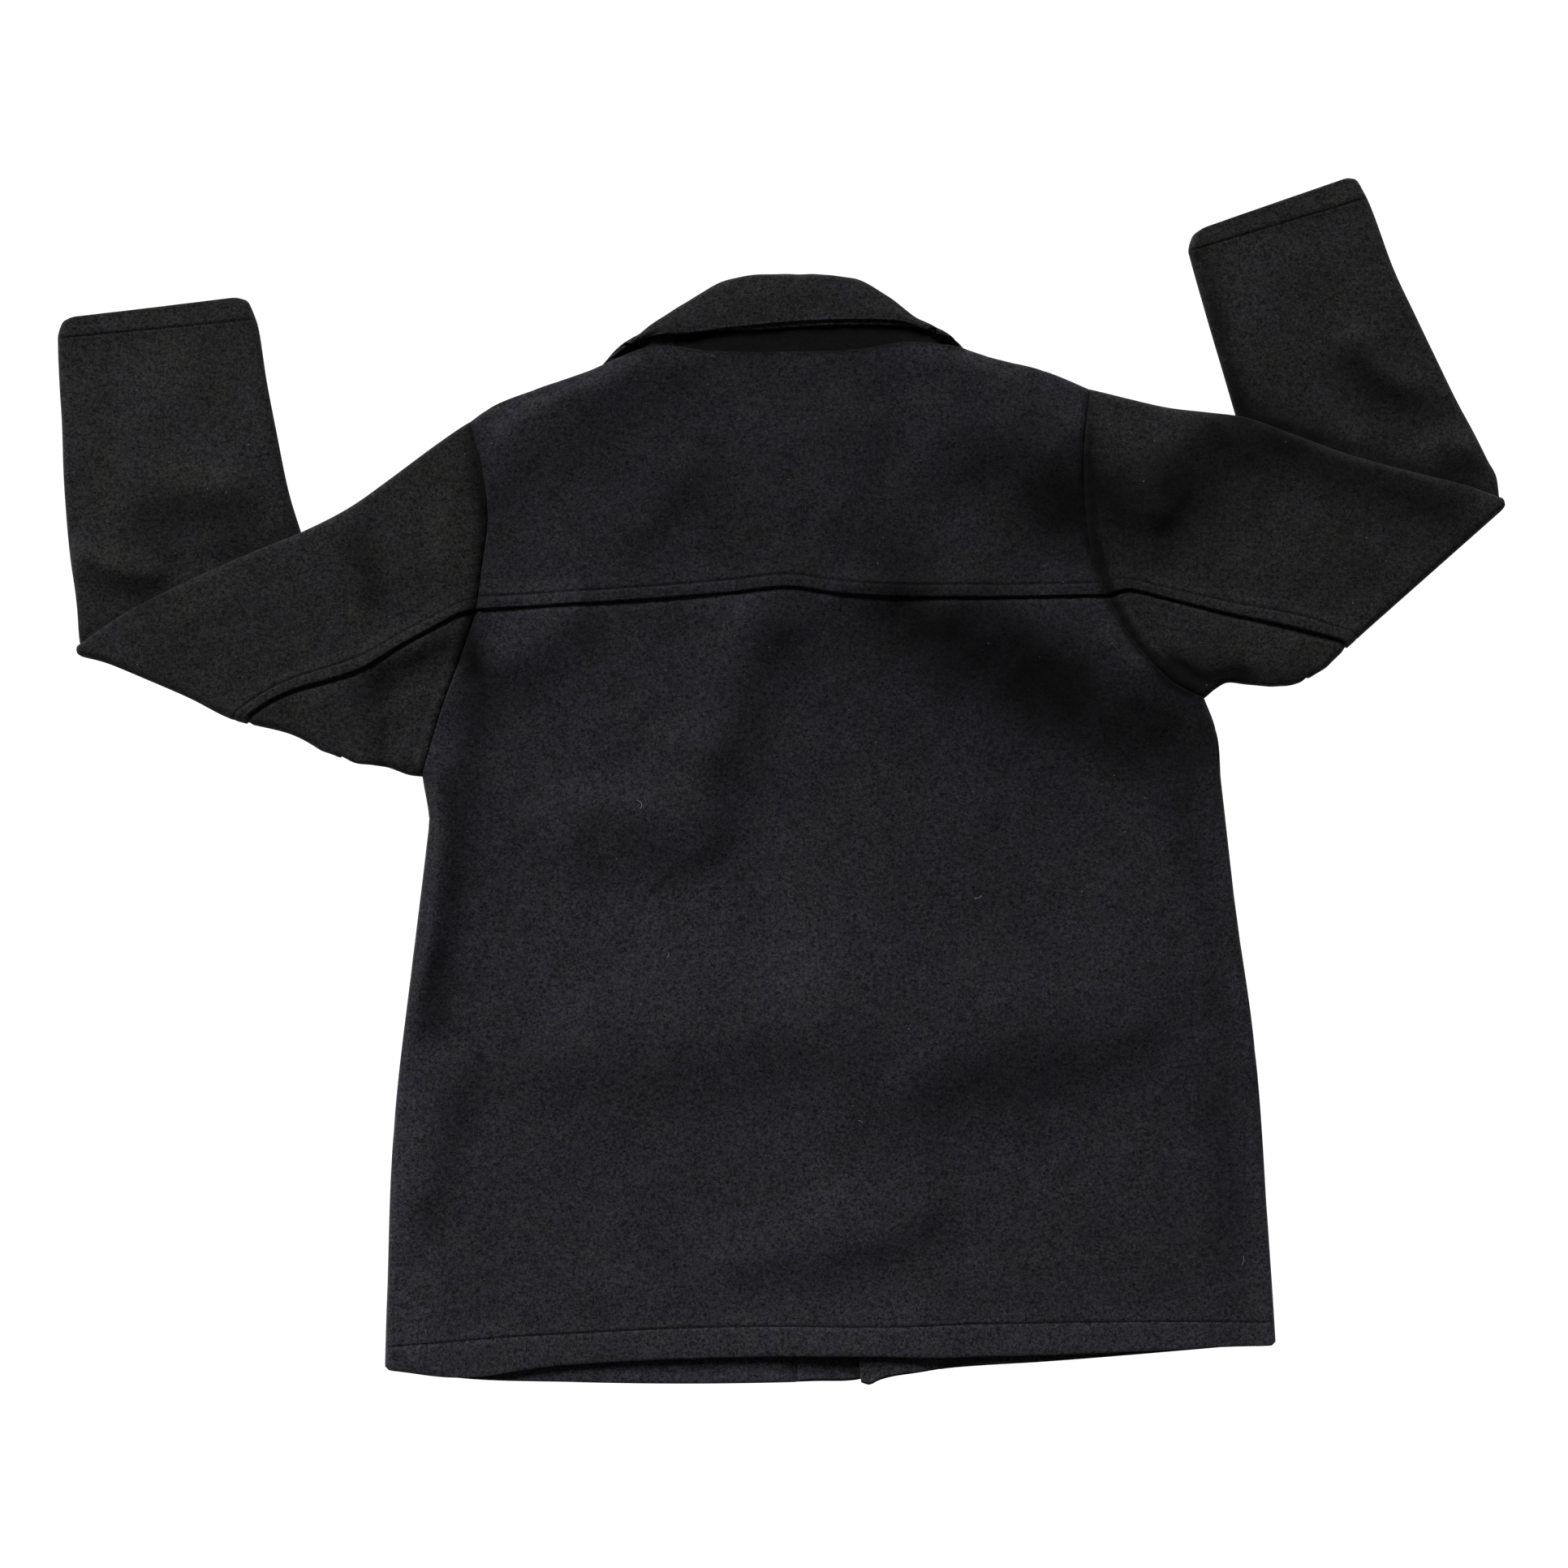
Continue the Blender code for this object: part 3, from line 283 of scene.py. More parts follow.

# Painted shade and light for folds, seams and edges: a line or spot, how far round it, and by how much.
PAINTED_SHADE_AND_LIGHT = (
    (((96, 128), (150, 106), (205, 74), (262, 40), (312, 24)), 42, -0.60),
    (((216, 214), (288, 206), (328, 250)), 40, -0.58),
    (((156, 244), (226, 222)), 32, -0.26),
    (((-234, 96), (-240, 10), (-254, -90), (-270, -190)), 13, -0.40),
    (((300, -20), (326, -100), (336, -260), (340, -420)), 16, -0.27),
    (((140, -238), (214, -218)), 38, -0.32),
    (((60, -284), (130, -244)), 28, -0.16),
    (((-200, -54), (-60, -54)), 28, -0.16),
    (((-190, -232), (-40, -222), (60, -206)), 30, -0.14),
    (((0, 126), (-20, 60), (-44, -10)), 20, -0.26),
    (((40, -374), (100, -346)), 30, -0.16),
    (((-170, -150), (-60, -140), (20, -150)), 60, 0.12),
    (((-286, -210), (-290, -320), (-292, -440)), 18, 0.34),
    (((-280, -430), (0, -424), (370, -424)), 20, 0.32),
    (((-250, -456), (60, -458)), 6, 0.60),
    (((68, -459), (92, -455), (120, -451)), 5, 0.80),
    (((366, -300), (374, -430)), 10, 0.24),
    (((-500, 330), (-460, 260)), 90, 0.10),
    (((-484, 198), (-420, 204)), 24, -0.42),
    (((-522, 156), (-486, 144)), 14, -0.34),
    (((320, 400), (334, 340), (348, 286)), 9, -0.50),
    (((-390, 300), (-376, 196)), 9, -0.30),
    (((372, 260), (440, 232), (508, 206)), 22, -0.50),
    (((436, 318), (462, 296), (494, 282)), 15, -0.50),
    (((508, 242), (530, 240)), 12, -0.50),
    (((400, 300), (470, 330)), 80, -0.18),
    (((300, 170), (480, 170)), 60, -0.20),
    (((-330, 190), (-314, 140)), 13, -0.28),
    (((298, 86), (320, 74), (346, 82)), 13, -0.80),
    (((340, 78), (400, 82)), 7, -0.40),
    (((-222, 60), (-185, 82), (-145, 114)), 18, -0.28),
    (((-234, -215), (-276, -345)), 12, -0.26),
    (((-215, 215), (-165, 252), (-120, 286)), 22, -0.24),
    (((-110, 178), (-60, 246)), 20, -0.20),
    (((-290, 9), (-278, 6)), 7, -0.50),
    (((-150, -300), (150, -330)), 170, 0.14),
    (((-300, -300), (-280, -420)), 60, 0.10),
    (((-470, 250), (-500, 340)), 90, 0.06),
    (((-320, 66), (-262, 108)), 12, -0.45),
    (((-50, 337), (10, 340), (70, 341)), 5, -0.30),
    (((20, 250), (40, 170)), 170, -0.20),
    (((-205, 260), (-180, 180)), 40, 0.10),
    (((-240, 124), (-236, 84)), 8, -0.35),
    (((248, 143), (259, 122), (273, 101), (291, 84), (309, 70)), 5, -0.60),
    (((239, 178), (247, 143)), 4, -0.50),
    (((10.5, -446), (10.5, -462)), 2.2, 0.35),
    (((6.0, -446), (6.0, -462)), 2.2, -0.50),
    (((125, -444), (128, -452)), 3.0, -0.60),
    (((180, 60), (190, -120)), 120, -0.17),
    (((220, -360), (320, -300)), 90, -0.12),
    (((-241, 268), (-229, 200), (-237, 131), (-250, 92)), 5, -0.55),
    (((-241, 268), (-229, 200), (-237, 131), (-262, 55)), 15, -0.14),
    (((233, 292), (231, 202), (247, 142), (268, 105), (296, 76)), 5, -0.55),
    (((-239, 278), (-334, 212), (-410, 177), (-538, 110)), 5, -0.35),
    (((236, 302), (324, 286), (388, 269), (545, 220)), 5, -0.35),
    (((-228, 284), (-121, 328)), 6, -0.15),
)


# --- curves and grids -------------------------------------------------------------------------------


def run_lengths(points):
    """Distance along the path to each of its points."""
    points = np.array(points, float)
    return np.concatenate([[0], np.cumsum(np.linalg.norm(np.diff(points, axis=0), axis=1))])


def length_of(points):
    return float(run_lengths(points)[-1])


def read_curve(knots, values, slopes, at):
    """Rows read between the given ones, which lie at knots, by a curve with these slopes."""
    i = np.clip(np.searchsorted(knots, at, side="right") - 1, 0, len(knots) - 2)
    span = (knots[i + 1] - knots[i])[:, None]
    s = (at - knots[i])[:, None] / span
    start = values[i] * (1 + 2 * s) * (1 - s) ** 2 + slopes[i] * span * s * (1 - s) ** 2
    end = values[i + 1] * (3 - 2 * s) * s**2 - slopes[i + 1] * span * s**2 * (1 - s)
    return start + end


def along(points, shares):
    """Points on a smooth curve through the given ones, at shares (0 to 1) of its length."""
    points = np.array(points, float)
    knots = run_lengths(points)
    slopes = np.gradient(points, knots, axis=0)
    return read_curve(knots, points, slopes, np.asarray(shares, float) * knots[-1])


def eased_table(knots, values, at):
    """Columns of values read between their rows by a curve that doesn't overshoot them."""
    rate = np.diff(values, axis=0) / np.diff(knots)[:, None]
    slopes = np.zeros_like(values)
    same = rate[:-1] * rate[1:] > 0
    total = np.where(same, rate[:-1] + rate[1:], 1.0)
    slopes[1:-1] = np.where(same, 2 * rate[:-1] * rate[1:] / total, 0)
    slopes[0], slopes[-1] = rate[0], rate[-1]
    return read_curve(knots, values, slopes, at)


def ease(share):
    """A smooth rise from 0 to 1 as share does so."""
    share = np.clip(share, 0, 1)
    return share * share * (3 - 2 * share)


def nearest(path, x, y):
    """(nearest point of a path, distance to it, signed side, share of the path) seen from above."""
    path = np.array(path, float)
    runs = run_lengths(path)
    best = np.full(np.shape(x), np.inf)
    found = np.zeros(np.shape(x) + (2,))
    side, share_of = np.zeros(np.shape(x)), np.zeros(np.shape(x))
    point = np.stack([x, y], axis=-1)
    for k, (start, end) in enumerate(zip(path[:-1], path[1:])):
        run = end - start
        share = np.clip((point - start) @ run / (run @ run), 0, 1)
        on_path = start + share[..., None] * run
        away = point - on_path
        distance = np.linalg.norm(away, axis=-1)
        closer = distance < best
        best = np.where(closer, distance, best)
        found = np.where(closer[..., None], on_path, found)
        side = np.where(closer, np.sign(run[0] * away[..., 1] - run[1] * away[..., 0]), side)
        share_of = np.where(closer, (runs[k] + share * (runs[k + 1] - runs[k])) / runs[-1], share_of)
    return found, best, side, share_of


def spread(start, end, count):
    """count values from start, evenly spaced, with the next one at end."""
    return list(start + (end - start) * np.arange(count) / count)


def between(start, end, count):
    """count values evenly spaced inside a stretch, without its ends."""
    return list(np.linspace(start, end, count + 2)[1:-1])


def count_for(length):
    """How many steps of a shell's spacing a length takes."""
    return max(1, int(math.ceil(length / STEP)))


def patch(left, right, bottom, top, shares):
    """Plan points that fill four edges: left and right run up the panel, bottom and top across it."""
    v = ((run_lengths(left) / length_of(left) + run_lengths(right) / length_of(right)) / 2)[:, None, None]
    u = np.asarray(shares)[None, :, None]
    across = (1 - u) * left[:, None] + u * right[:, None]
    up = (1 - v) * bottom[None] + v * top[None]
    corners = (1 - v) * ((1 - u) * left[0] + u * right[0]) + v * ((1 - u) * left[-1] + u * right[-1])
    return across + up - corners


def pinned(points, start, end):
    """The points moved so that the first and last lie at start and end."""
    points = np.array(points, float)
    share = np.linspace(0, 1, len(points))[:, None]
    return points + (1 - share) * (np.array(start) - points[0]) + share * (np.array(end) - points[-1])


# --- relief -----------------------------------------------------------------------------------------


def swell(x, y, wave, seed, count=14):
    """A smooth uneven field of about -1 to 1, with bumps about half a wave across."""
    rng = np.random.default_rng(seed)
    total = np.zeros(np.shape(x))
    for _ in range(count):
        angle, phase, scale = rng.uniform(0, math.tau), rng.uniform(0, math.tau), rng.uniform(0.7, 1.5)
        total += np.sin((x * math.cos(angle) + y * math.sin(angle)) * math.tau / (wave * scale) + phase)
    return total / math.sqrt(count) / 1.2


def wandered(x, y, seed):
    """The point moved a little, so that what is drawn with it wavers as cloth does."""
    reach, wave = 4.5, 95
    return x + reach * swell(x, y, wave, seed), y + reach * swell(x, y, wave, seed + 1)


def painted_shade_and_light(x, y):
    """How much painted shade and light darken or lighten a point, as a share of the nap's own tone."""
    total = np.zeros(np.shape(x))
    for path, reach, amount in PAINTED_SHADE_AND_LIGHT:
        total += amount * np.exp(-((nearest(path, x, y)[1] / reach) ** 2))
    return total


def pulled(points, rows):
    """The level move of each point by soft local pulls."""
    move = np.zeros(points.shape)
    for x, y, reach, right, up in rows:
        near = np.exp(-(((points[..., 0] - x) ** 2 + (points[..., 1] - y) ** 2) / reach**2))
        move[..., 0] += right * near
        move[..., 1] += up * near
    return move


CREASE_FADE = 0.22  # the share of a crease over which each end dies away


def creases(rows, x, y, seed):
    """Soft folds, each steeper on one side than on the other and dying away at its ends."""
    u, v = wandered(x, y, seed)
    total = np.zeros(np.shape(x))
    for path, left, right, height in rows:
        smooth = along(path, np.linspace(0, 1, 4 * len(path)))
        _, distance, side, share = nearest(smooth, u, v)
        width = np.where(side > 0, left, right)
        fade = ease(share / CREASE_FADE) * ease((1 - share) / CREASE_FADE)
        total = total + height * fade * np.exp(-np.abs(distance / width) ** 1.8)
    return total


FOLDED_EDGES = (LEFT_SIDE, RIGHT_SIDE, LEFT_SHOULDER, RIGHT_SHOULDER)


def folded_edge(x, y):
    """(nearest point of the body's folded edges, distance to it)."""
    found, best = nearest(FOLDED_EDGES[0], x, y)[:2]
    for edge in FOLDED_EDGES[1:]:
        other, distance = nearest(edge, x, y)[:2]
        closer = distance < best
        found = np.where(closer[..., None], other, found)
        best = np.where(closer, distance, best)
    return found, best


def rolled(distance):
    """1 on the flat, falling to 0 at a folded edge as round cloth does."""
    near = 1 - np.clip(distance / ROLL, 0, 1)
    return np.sqrt(np.clip(1 - near * near, 0, 1))


def centre_front(y):
    return np.interp(y, *CENTRE_FRONT)


def neck_rise(x, y):
    """How far the collar's leaf lifts what lies on it."""
    reach = np.hypot((x - 9) / 215, (y - 262) / 140)
    return LEAF_STACK * (1 - ease((reach - 0.8) / 0.45))


def left_low(x, y):
    """The left front's underside."""
    beside = (np.abs(x - centre_front(y)) - 15) / 26
    above_facing = ease((y + 410) / 50)
    neck = neck_rise(x, y)
    return neck + PLACKET_LIFT * (1 - ease(beside)) * above_facing * (1 - neck / LEAF_STACK)


def right_low(x, y):
    """The right front's underside, which lies on the left front where they overlap."""
    over_facing = (FACING + SEAM) * (1 - ease((y + 385) / 30))
    on_left = left_low(x, y) + CLOTH + AIR + over_facing
    past = ease((x - centre_front(y) - OVERLAP - 12) / 32)
    return on_left * (1 - past) + neck_rise(x, y) * past


def armhole_relief(x, y):
    """The seam pulls the cloth in, puckered, between the allowances that lift it on both sides."""
    total = np.zeros(np.shape(x))
    for seed, hole in enumerate(ARMHOLES.values()):
        _, distance, _, share = nearest(hole["back"], x, y)
        run = share * length_of(hole["back"])
        low = ease((share - 0.5) / 0.3)
        pucker = np.sin(run / 2.3 + 2.2 * np.sin(run / 17 + seed)) * np.exp(-((distance / 8) ** 2))
        total = total + 2.4 * np.exp(-((distance / 26) ** 2)) + 0.28 * pucker
        total = total - (2.4 - 2.0 * low) * np.exp(-((distance / 3.0) ** 2))
    return total


# The dip at the shoulder, how much deeper it gets under the arm, and from where and over how much of the
# armhole it deepens; and how much painted shade darkens it.
ARMPITS = {"left": (0.8, 2.2, 0.5, 0.35), "right": (0.5, 4.2, 0.45, 0.4)}
ARMPIT_SHADE = {"left": 0.06, "right": 0.16}


def armpit_dip(side, x, y):
    """How deep the sleeve sinks beside the body's edge, most of all under the arm."""
    least, more, start, over = ARMPITS[side]
    _, distance, _, share = nearest(ARMHOLES[side]["back"], x, y)
    depth = least + more * ease((share - start) / over)
    return depth * ease(distance / 3.2) * np.exp(-((distance / 12) ** 2))


def over_yoke_edge(x, y):
    """How far a point lies above the edge of the yoke's lap."""
    curve = along(YOKE_EDGE, np.linspace(0, 1, 60))
    return y - np.interp(x, curve[:, 0], curve[:, 1])


def furrow(distance):
    """The narrow furrow that a row of topstitching pulls."""
    return -FURROW_DEPTH * np.exp(-((distance / 0.8) ** 2))


DEEPEST = 3.0  # the most that a trough sinks into the back


def back_top(x, y):
    """Height of the back's outer face, away from the folded edges."""
    reach = np.hypot((x - 9) / 165, (y - 290) / 90)
    stand = STAND_STACK * (1 - ease((reach - 0.8) / 0.4))
    from_hem = nearest(BACK_HEM, x, y)[1]
    _, from_edge = folded_edge(x, y)
    over_fronts = 1 - ease((np.abs(x - 66) - 34) / 60)
    hem = (1.4 + 2.4 * over_fronts) * (1 - ease((from_hem - 20) / 60))
    overlap = 3.2 * (1 - ease((np.abs(x - centre_front(y) - 8) - 26) / 46)) * (1 - ease((y - 262) / 40))
    side = 2.2 * np.exp(-((from_edge / 22) ** 2)) * (1 - ease((y - 200) / 60))
    soft = creases(BODY_CREASES, x, y, 5) + 0.5 * swell(x, y, 120, 21) + 0.22 * swell(x, y, 34, 22)
    soft = np.where(soft < 0, -DEEPEST * np.tanh(-soft / DEEPEST), soft)
    neck_corners = np.zeros(np.shape(x))
    for left, right, level in ((-112, -88, 318), (106, 130, 322)):
        distance = nearest(((left, level), (right, level)), x, y)[1]
        neck_corners = neck_corners + 5.4 * np.exp(-((distance / 24) ** 2))
    form = LYING + neck_rise(x, y) + stand + hem + overlap + side
    seams = armhole_relief(x, y) * (1 - 0.6 * ease((y - 230) / 60))
    return form + (soft + neck_corners) * ease((from_edge - 2) / 12) + seams


def inward(x, y):
    """Level direction in from the nearest folded edge."""
    to_middle = np.stack([MIDDLE[0] - x, MIDDLE[1] - y], axis=-1)
    to_middle /= np.linalg.norm(to_middle, axis=-1, keepdims=True)
    inside = np.stack([x, y], axis=-1) + 1.5 * to_middle
    edge, _ = folded_edge(inside[..., 0], inside[..., 1])
    away = inside - edge
    return away / np.maximum(np.linalg.norm(away, axis=-1, keepdims=True), 1e-9)


def body_wall(plan, layer, low, thickness, lift=0.0):
    """(outer grid, inner grid) of a body panel: layer 1 is the back, -1 a front whose underside is low."""
    x, y = plan[..., 0], plan[..., 1]
    _, distance = folded_edge(x, y)
    share = rolled(distance)
    bottom = low(x, y)
    top = back_top(x, y)
    middle = (top + bottom) / 2
    reach = top + lift - middle if layer > 0 else middle - bottom
    height = middle + layer * np.maximum(reach * share, SEAM / 2)
    outer = np.dstack([x, y, height])
    level = np.sqrt(np.clip(1 - share**2, 0, 1))[..., None] * inward(x, y)
    step = np.dstack([level, -layer * share])
    return outer, outer + step * np.broadcast_to(thickness, x.shape)[..., None]


# --- shells -----------------------------------------------------------------------------------------

# The step inwards from each edge of a grid, in rows and columns.
SIDES = {"first_row": (1, 0), "last_row": (-1, 0), "first_column": (0, 1), "last_column": (0, -1)}
ROUND = 5  # points round a cut or folded edge


def shell(name, outer, inner, finish, free=(), shade=None):
    """A thin closed shell between two grids of points, with the edges named in free rounded over.

    shade is painted shade and light, added to the nap's own tone point by point of both grids.
    """
    outer, inner = np.array(outer, float), np.array(inner, float)
    rows, columns = outer.shape[:2]
    rim = [(0, j) for j in range(columns)] + [(i, columns - 1) for i in range(1, rows)]
    rim += [(rows - 1, j) for j in range(columns - 2, -1, -1)] + [(i, 0) for i in range(rows - 2, 0, -1)]
    at = np.array(rim)
    over, under = outer[at[:, 0], at[:, 1]], inner[at[:, 0], at[:, 1]]
    away = np.zeros_like(over)
    for side in free:
        step = np.array(SIDES[side])
        axis = int(np.argmax(np.abs(step)))
        on = at[:, axis] == (0 if step[axis] > 0 else outer.shape[axis] - 1)
        inside = at[on] + step
        there = over[on] - outer[inside[:, 0], inside[:, 1]]
        away[on] += there / np.linalg.norm(there, axis=1, keepdims=True)
    size = np.linalg.norm(away, axis=1, keepdims=True)
    away = away / np.maximum(size, 1e-9) * (size > 0)
    half = (over - under) / 2
    radius = np.linalg.norm(half, axis=1, keepdims=True)
    middle = (over + under) / 2 - away * radius
    outer[at[:, 0], at[:, 1]] = middle + half
    inner[at[:, 0], at[:, 1]] = middle - half
    points = [outer.reshape(-1, 3), inner.reshape(-1, 3)]
    for turn in np.linspace(0, math.pi, ROUND + 2)[1:-1]:
        points.append(middle + half * math.cos(turn) + away * radius * math.sin(turn))
    index = np.arange(rows * columns).reshape(rows, columns)
    quads = np.stack([index[:-1, :-1], index[:-1, 1:], index[1:, 1:], index[1:, :-1]], axis=-1)
    quads = quads.reshape(-1, 4)
    faces = [quads, quads[:, ::-1] + rows * columns]
    border = index[at[:, 0], at[:, 1]]
    rings = [border] + [2 * rows * columns + k * len(rim) + np.arange(len(rim)) for k in range(ROUND)]
    rings.append(border + rows * columns)
    for one, two in zip(rings, rings[1:]):
        faces.append(np.stack([np.roll(one, -1), one, two, np.roll(two, -1)], axis=-1))
    shade = np.zeros((rows, columns)) if shade is None else np.broadcast_to(shade, (rows, columns))
    around = np.tile(shade[at[:, 0], at[:, 1]], ROUND)
    shades = np.concatenate([shade.ravel(), shade.ravel(), around])
    return add_cloth(name, np.vstack(points), np.vstack(faces), finish, shades)


def add_mesh(name, points, faces, finish):
    """A smooth-shaded mesh object from points in millimetres."""
    mesh = bpy.data.meshes.new(name)
    mesh.from_pydata((np.asarray(points) * MM).tolist(), [], [list(map(int, face)) for face in faces])
    mesh.update()
    mesh.shade_smooth()
    mesh.materials.append(finish)
    made = bpy.data.objects.new(name, mesh)
    bpy.context.scene.collection.objects.link(made)
    return made


def add_cloth(name, points, faces, finish, shades):
    """A closed cloth mesh that faces outwards and carries its painted shade and light."""
    made = add_mesh(name, points, faces, finish)
    if sum(face.center.dot(face.normal) * face.area for face in made.data.polygons) < 0:
        made.data.flip_normals()
    # the painted shade and light, kept on the points for the material to read
    tone = made.data.attributes.new("painted_shade_and_light", "FLOAT", "POINT")
    tone.data.foreach_set("value", painted_shade_and_light(points[:, 0], points[:, 1]) + shades)
    return made


# --- the body's panels ------------------------------------------------------------------------------


def lap_length(side):
    """How far down the armhole the yoke's edge lies."""
    return length_of(ARMHOLES[side]["back"][: LAP_ROW + 1])


def armhole_counts():
    """Counts of the points above the lap, below it and down the front, the same on both sides."""
    backs, laps, fronts = [], [], []
    for side, hole in ARMHOLES.items():
        backs.append(length_of(hole["back"]))
        laps.append(lap_length(side))
        fronts.append(length_of(hole["front"]))
    lower = max(back - lap for back, lap in zip(backs, laps))
    return count_for(max(laps)), count_for(lower), count_for(max(fronts))


UPPER_COUNT, LOWER_COUNT, FRONT_COUNT = armhole_counts()


def lap_stops(edge):
    """Stops over a lap: beside its stitching and on to its edge."""
    line = edge - LAP
    return [line - BESIDE] + [line + s for s in FURROW] + spread(line + BESIDE, edge, 3) + [edge]


AT_LAP_LINE = -(1 + 3 + 3)  # the stitching's own stop, counted from the end of what lap_stops gives


def before_lap(edge):
    """Stops from a folded edge over the cloth to a lap's edge."""
    return spread(0, ROLL, ROLL_ROWS) + spread(ROLL, edge - LAP - BESIDE, UPPER_COUNT) + lap_stops(edge)


def to_fold(end):
    """Stops over the last stretch, on which the cloth rolls over its folded edge."""
    return [end - s for s in spread(ROLL, 0, ROLL_ROWS)] + [end]


def past_lap(edge, end):
    """Stops from beneath a lap out past its edge, and on to the folded edge."""
    start = spread(edge - UNDERLAP, edge + 1, 4) + spread(edge + 1, edge + LAP_CLEAR, 3)
    return start + spread(edge + LAP_CLEAR, end - ROLL, LOWER_COUNT) + to_fold(end)


def stops_across(end, count):
    """Stops from one folded edge to the other."""
    return spread(0, ROLL, ROLL_ROWS) + spread(ROLL, end - ROLL, count) + to_fold(end)


def armhole_stops(side):
    """Stops down an armhole, for the yoke's edge, the back's and the front's."""
    back, front = length_of(ARMHOLES[side]["back"]), length_of(ARMHOLES[side]["front"])
    lap = lap_length(side)
    under = stops_across(front, FRONT_COUNT)
    return {"upper": before_lap(lap), "lower": past_lap(lap, back), "under": under}


def armhole_frame(side, layer, stops):
    """(points, unit direction) of an armhole's line at each stop."""
    points = ARMHOLES[side]["back" if layer > 0 else "front"]
    shares = np.array(stops) / length_of(points)
    plan = along(points, np.clip(shares, 0, 1))
    ahead = along(points, np.clip(shares + 0.004, 0, 1)) - along(points, np.clip(shares - 0.004, 0, 1))
    return plan, ahead / np.linalg.norm(ahead, axis=1, keepdims=True)


def armhole_plan(side, layer, stops, offset):
    """Plan points beside an armhole's line, offset from it towards the sleeve."""
    plan, ahead = armhole_frame(side, layer, stops)
    normal = np.stack([ahead[:, 1], -ahead[:, 0]], axis=1)
    return plan + normal * np.sign(normal[:, :1]) * ARMHOLES[side]["outward"] * offset


# The line of the hem's topstitching, and its depth at the two side seams.
HEM_STITCHES = (
    (-304, -433), (-261, -430), (-217, -426), (-162, -423), (-108, -420), (-53, -418),
    (12, -417), (83, -417), (120, -416), (207, -415), (269, -414), (376, -414),
)
HEM_DEPTHS = {"left": 20.0, "right": 19.0}
HEM_ROWS = 6  # rows from the hem's edge to its stitching
HEM_CORNER = 4.6  # the radius of the hem's corners


def hem_stops(depth):
    """Stops up from the hem's edge, past the stitching that lies at this depth."""
    rows = [0, 2.6] + spread(HEM_CORNER, depth - BESIDE, HEM_ROWS - 2) + [depth - BESIDE]
    return rows + [depth + s for s in FURROW] + [depth + BESIDE]


AT_HEM_LINE = HEM_ROWS + 3  # the row on the stitching


def side_rows(side):
    """Plan points up a side seam, from the hem's edge with its rounded corner to just under the armhole."""
    path = LEFT_SIDE if side == "left" else RIGHT_SIDE
    total = length_of(path)
    count = count_for(max(length_of(LEFT_SIDE), length_of(RIGHT_SIDE)))
    start = hem_stops(HEM_DEPTHS[side])
    stops = np.array(start[:-1] + spread(start[-1], total, count))
    rows = along(path, stops / total)
    rows[:, 0] += (1 if side == "left" else -1) * corner_inset(stops, HEM_CORNER)
    return rows


def corner_inset(stops, radius):
    """How far a rounded corner pulls a side in at each distance from the end."""
    short = np.clip(radius - np.asarray(stops, float), 0, radius)
    return radius - np.sqrt(radius**2 - short**2)


def back_shares():
    """Shares of the back's width under its left shoulder, its neck and its right shoulder."""
    width = RIGHT_SHOULDER[0][0] - LEFT_SHOULDER[0][0]
    first = (LEFT_SHOULDER[-1][0] - LEFT_SHOULDER[0][0]) / width
    last = (RIGHT_SHOULDER[-1][0] - LEFT_SHOULDER[0][0]) / width
    edge = [s / width for s in spread(0, ROLL, ROLL_ROWS)]
    closeness = 1.25  # points lie closer here than on the sleeves
    count = count_for(max(first, 1 - last) * width * closeness)
    left = edge + spread(ROLL / width, first, count) + [first]
    right = [1 - s for s in reversed(edge + spread(ROLL / width, 1 - last, count) + [1 - last])]
    neck = between(first, last, count_for((last - first) * width * closeness))
    return np.array(left), np.array(neck), np.array(right)


def make_back(finish):
    """(lower back, its outer grid)."""
    edges = []
    for side in ("left", "right"):
        lower = armhole_stops(side)["lower"]
        edges.append(np.vstack([side_rows(side), armhole_plan(side, 1, lower[::-1], -SEAM / 2)]))
    shares = np.concatenate(back_shares())
    bottom = pinned(along(BACK_HEM, shares), edges[0][0], edges[1][0])
    top = pinned(along(YOKE_EDGE, shares) + (0, UNDERLAP), edges[0][-1], edges[1][-1])
    plan = patch(*edges, bottom, top, shares)
    sewn = HEM_DEPTHS["left"]
    depths = hem_stops(sewn)
    hem_edge = plan[0, :, 1].copy()
    line = np.interp(plan[0, :, 0], *np.transpose(HEM_STITCHES)) - hem_edge
    for row in range(1, len(depths) + 6):
        past = max(0, row - len(depths) + 1)
        if row <= HEM_ROWS:
            there = hem_edge + line * (depths[row] / sewn)
        else:
            there = hem_edge + (line + depths[row - past] - sewn + past * STEP)
        fade = 1 - ease(past / 7)
        plan[row, 1:-1, 1] += fade * (there - plan[row, :, 1])[1:-1]
    x, y = plan[..., 0], plan[..., 1]
    from_hem = nearest(BACK_HEM, x, y)[1]
    thickness = CLOTH + (TURNED - CLOTH) * (1 - ease((from_hem - HEM + 1) / 2))
    below = -over_yoke_edge(x, y)
    to_line = y - np.interp(x, *np.transpose(HEM_STITCHES))
    lift = furrow(to_line) + roping(from_hem, x) - LAP_SINK * (1 - ease((below - 1) / (LAP_CLEAR - 1)))
    outer, inner = body_wall(plan, 1, neck_rise, thickness, lift)
    shade = LINE_SHADE * furrow(to_line)
    return shell("back_cloth", outer, inner, finish, free=("first_row",), shade=shade), outer


NECK_EDGE_SHADE = np.array([[0.3], [0.7]])  # painted shade on the yoke's last two rows, under the collar
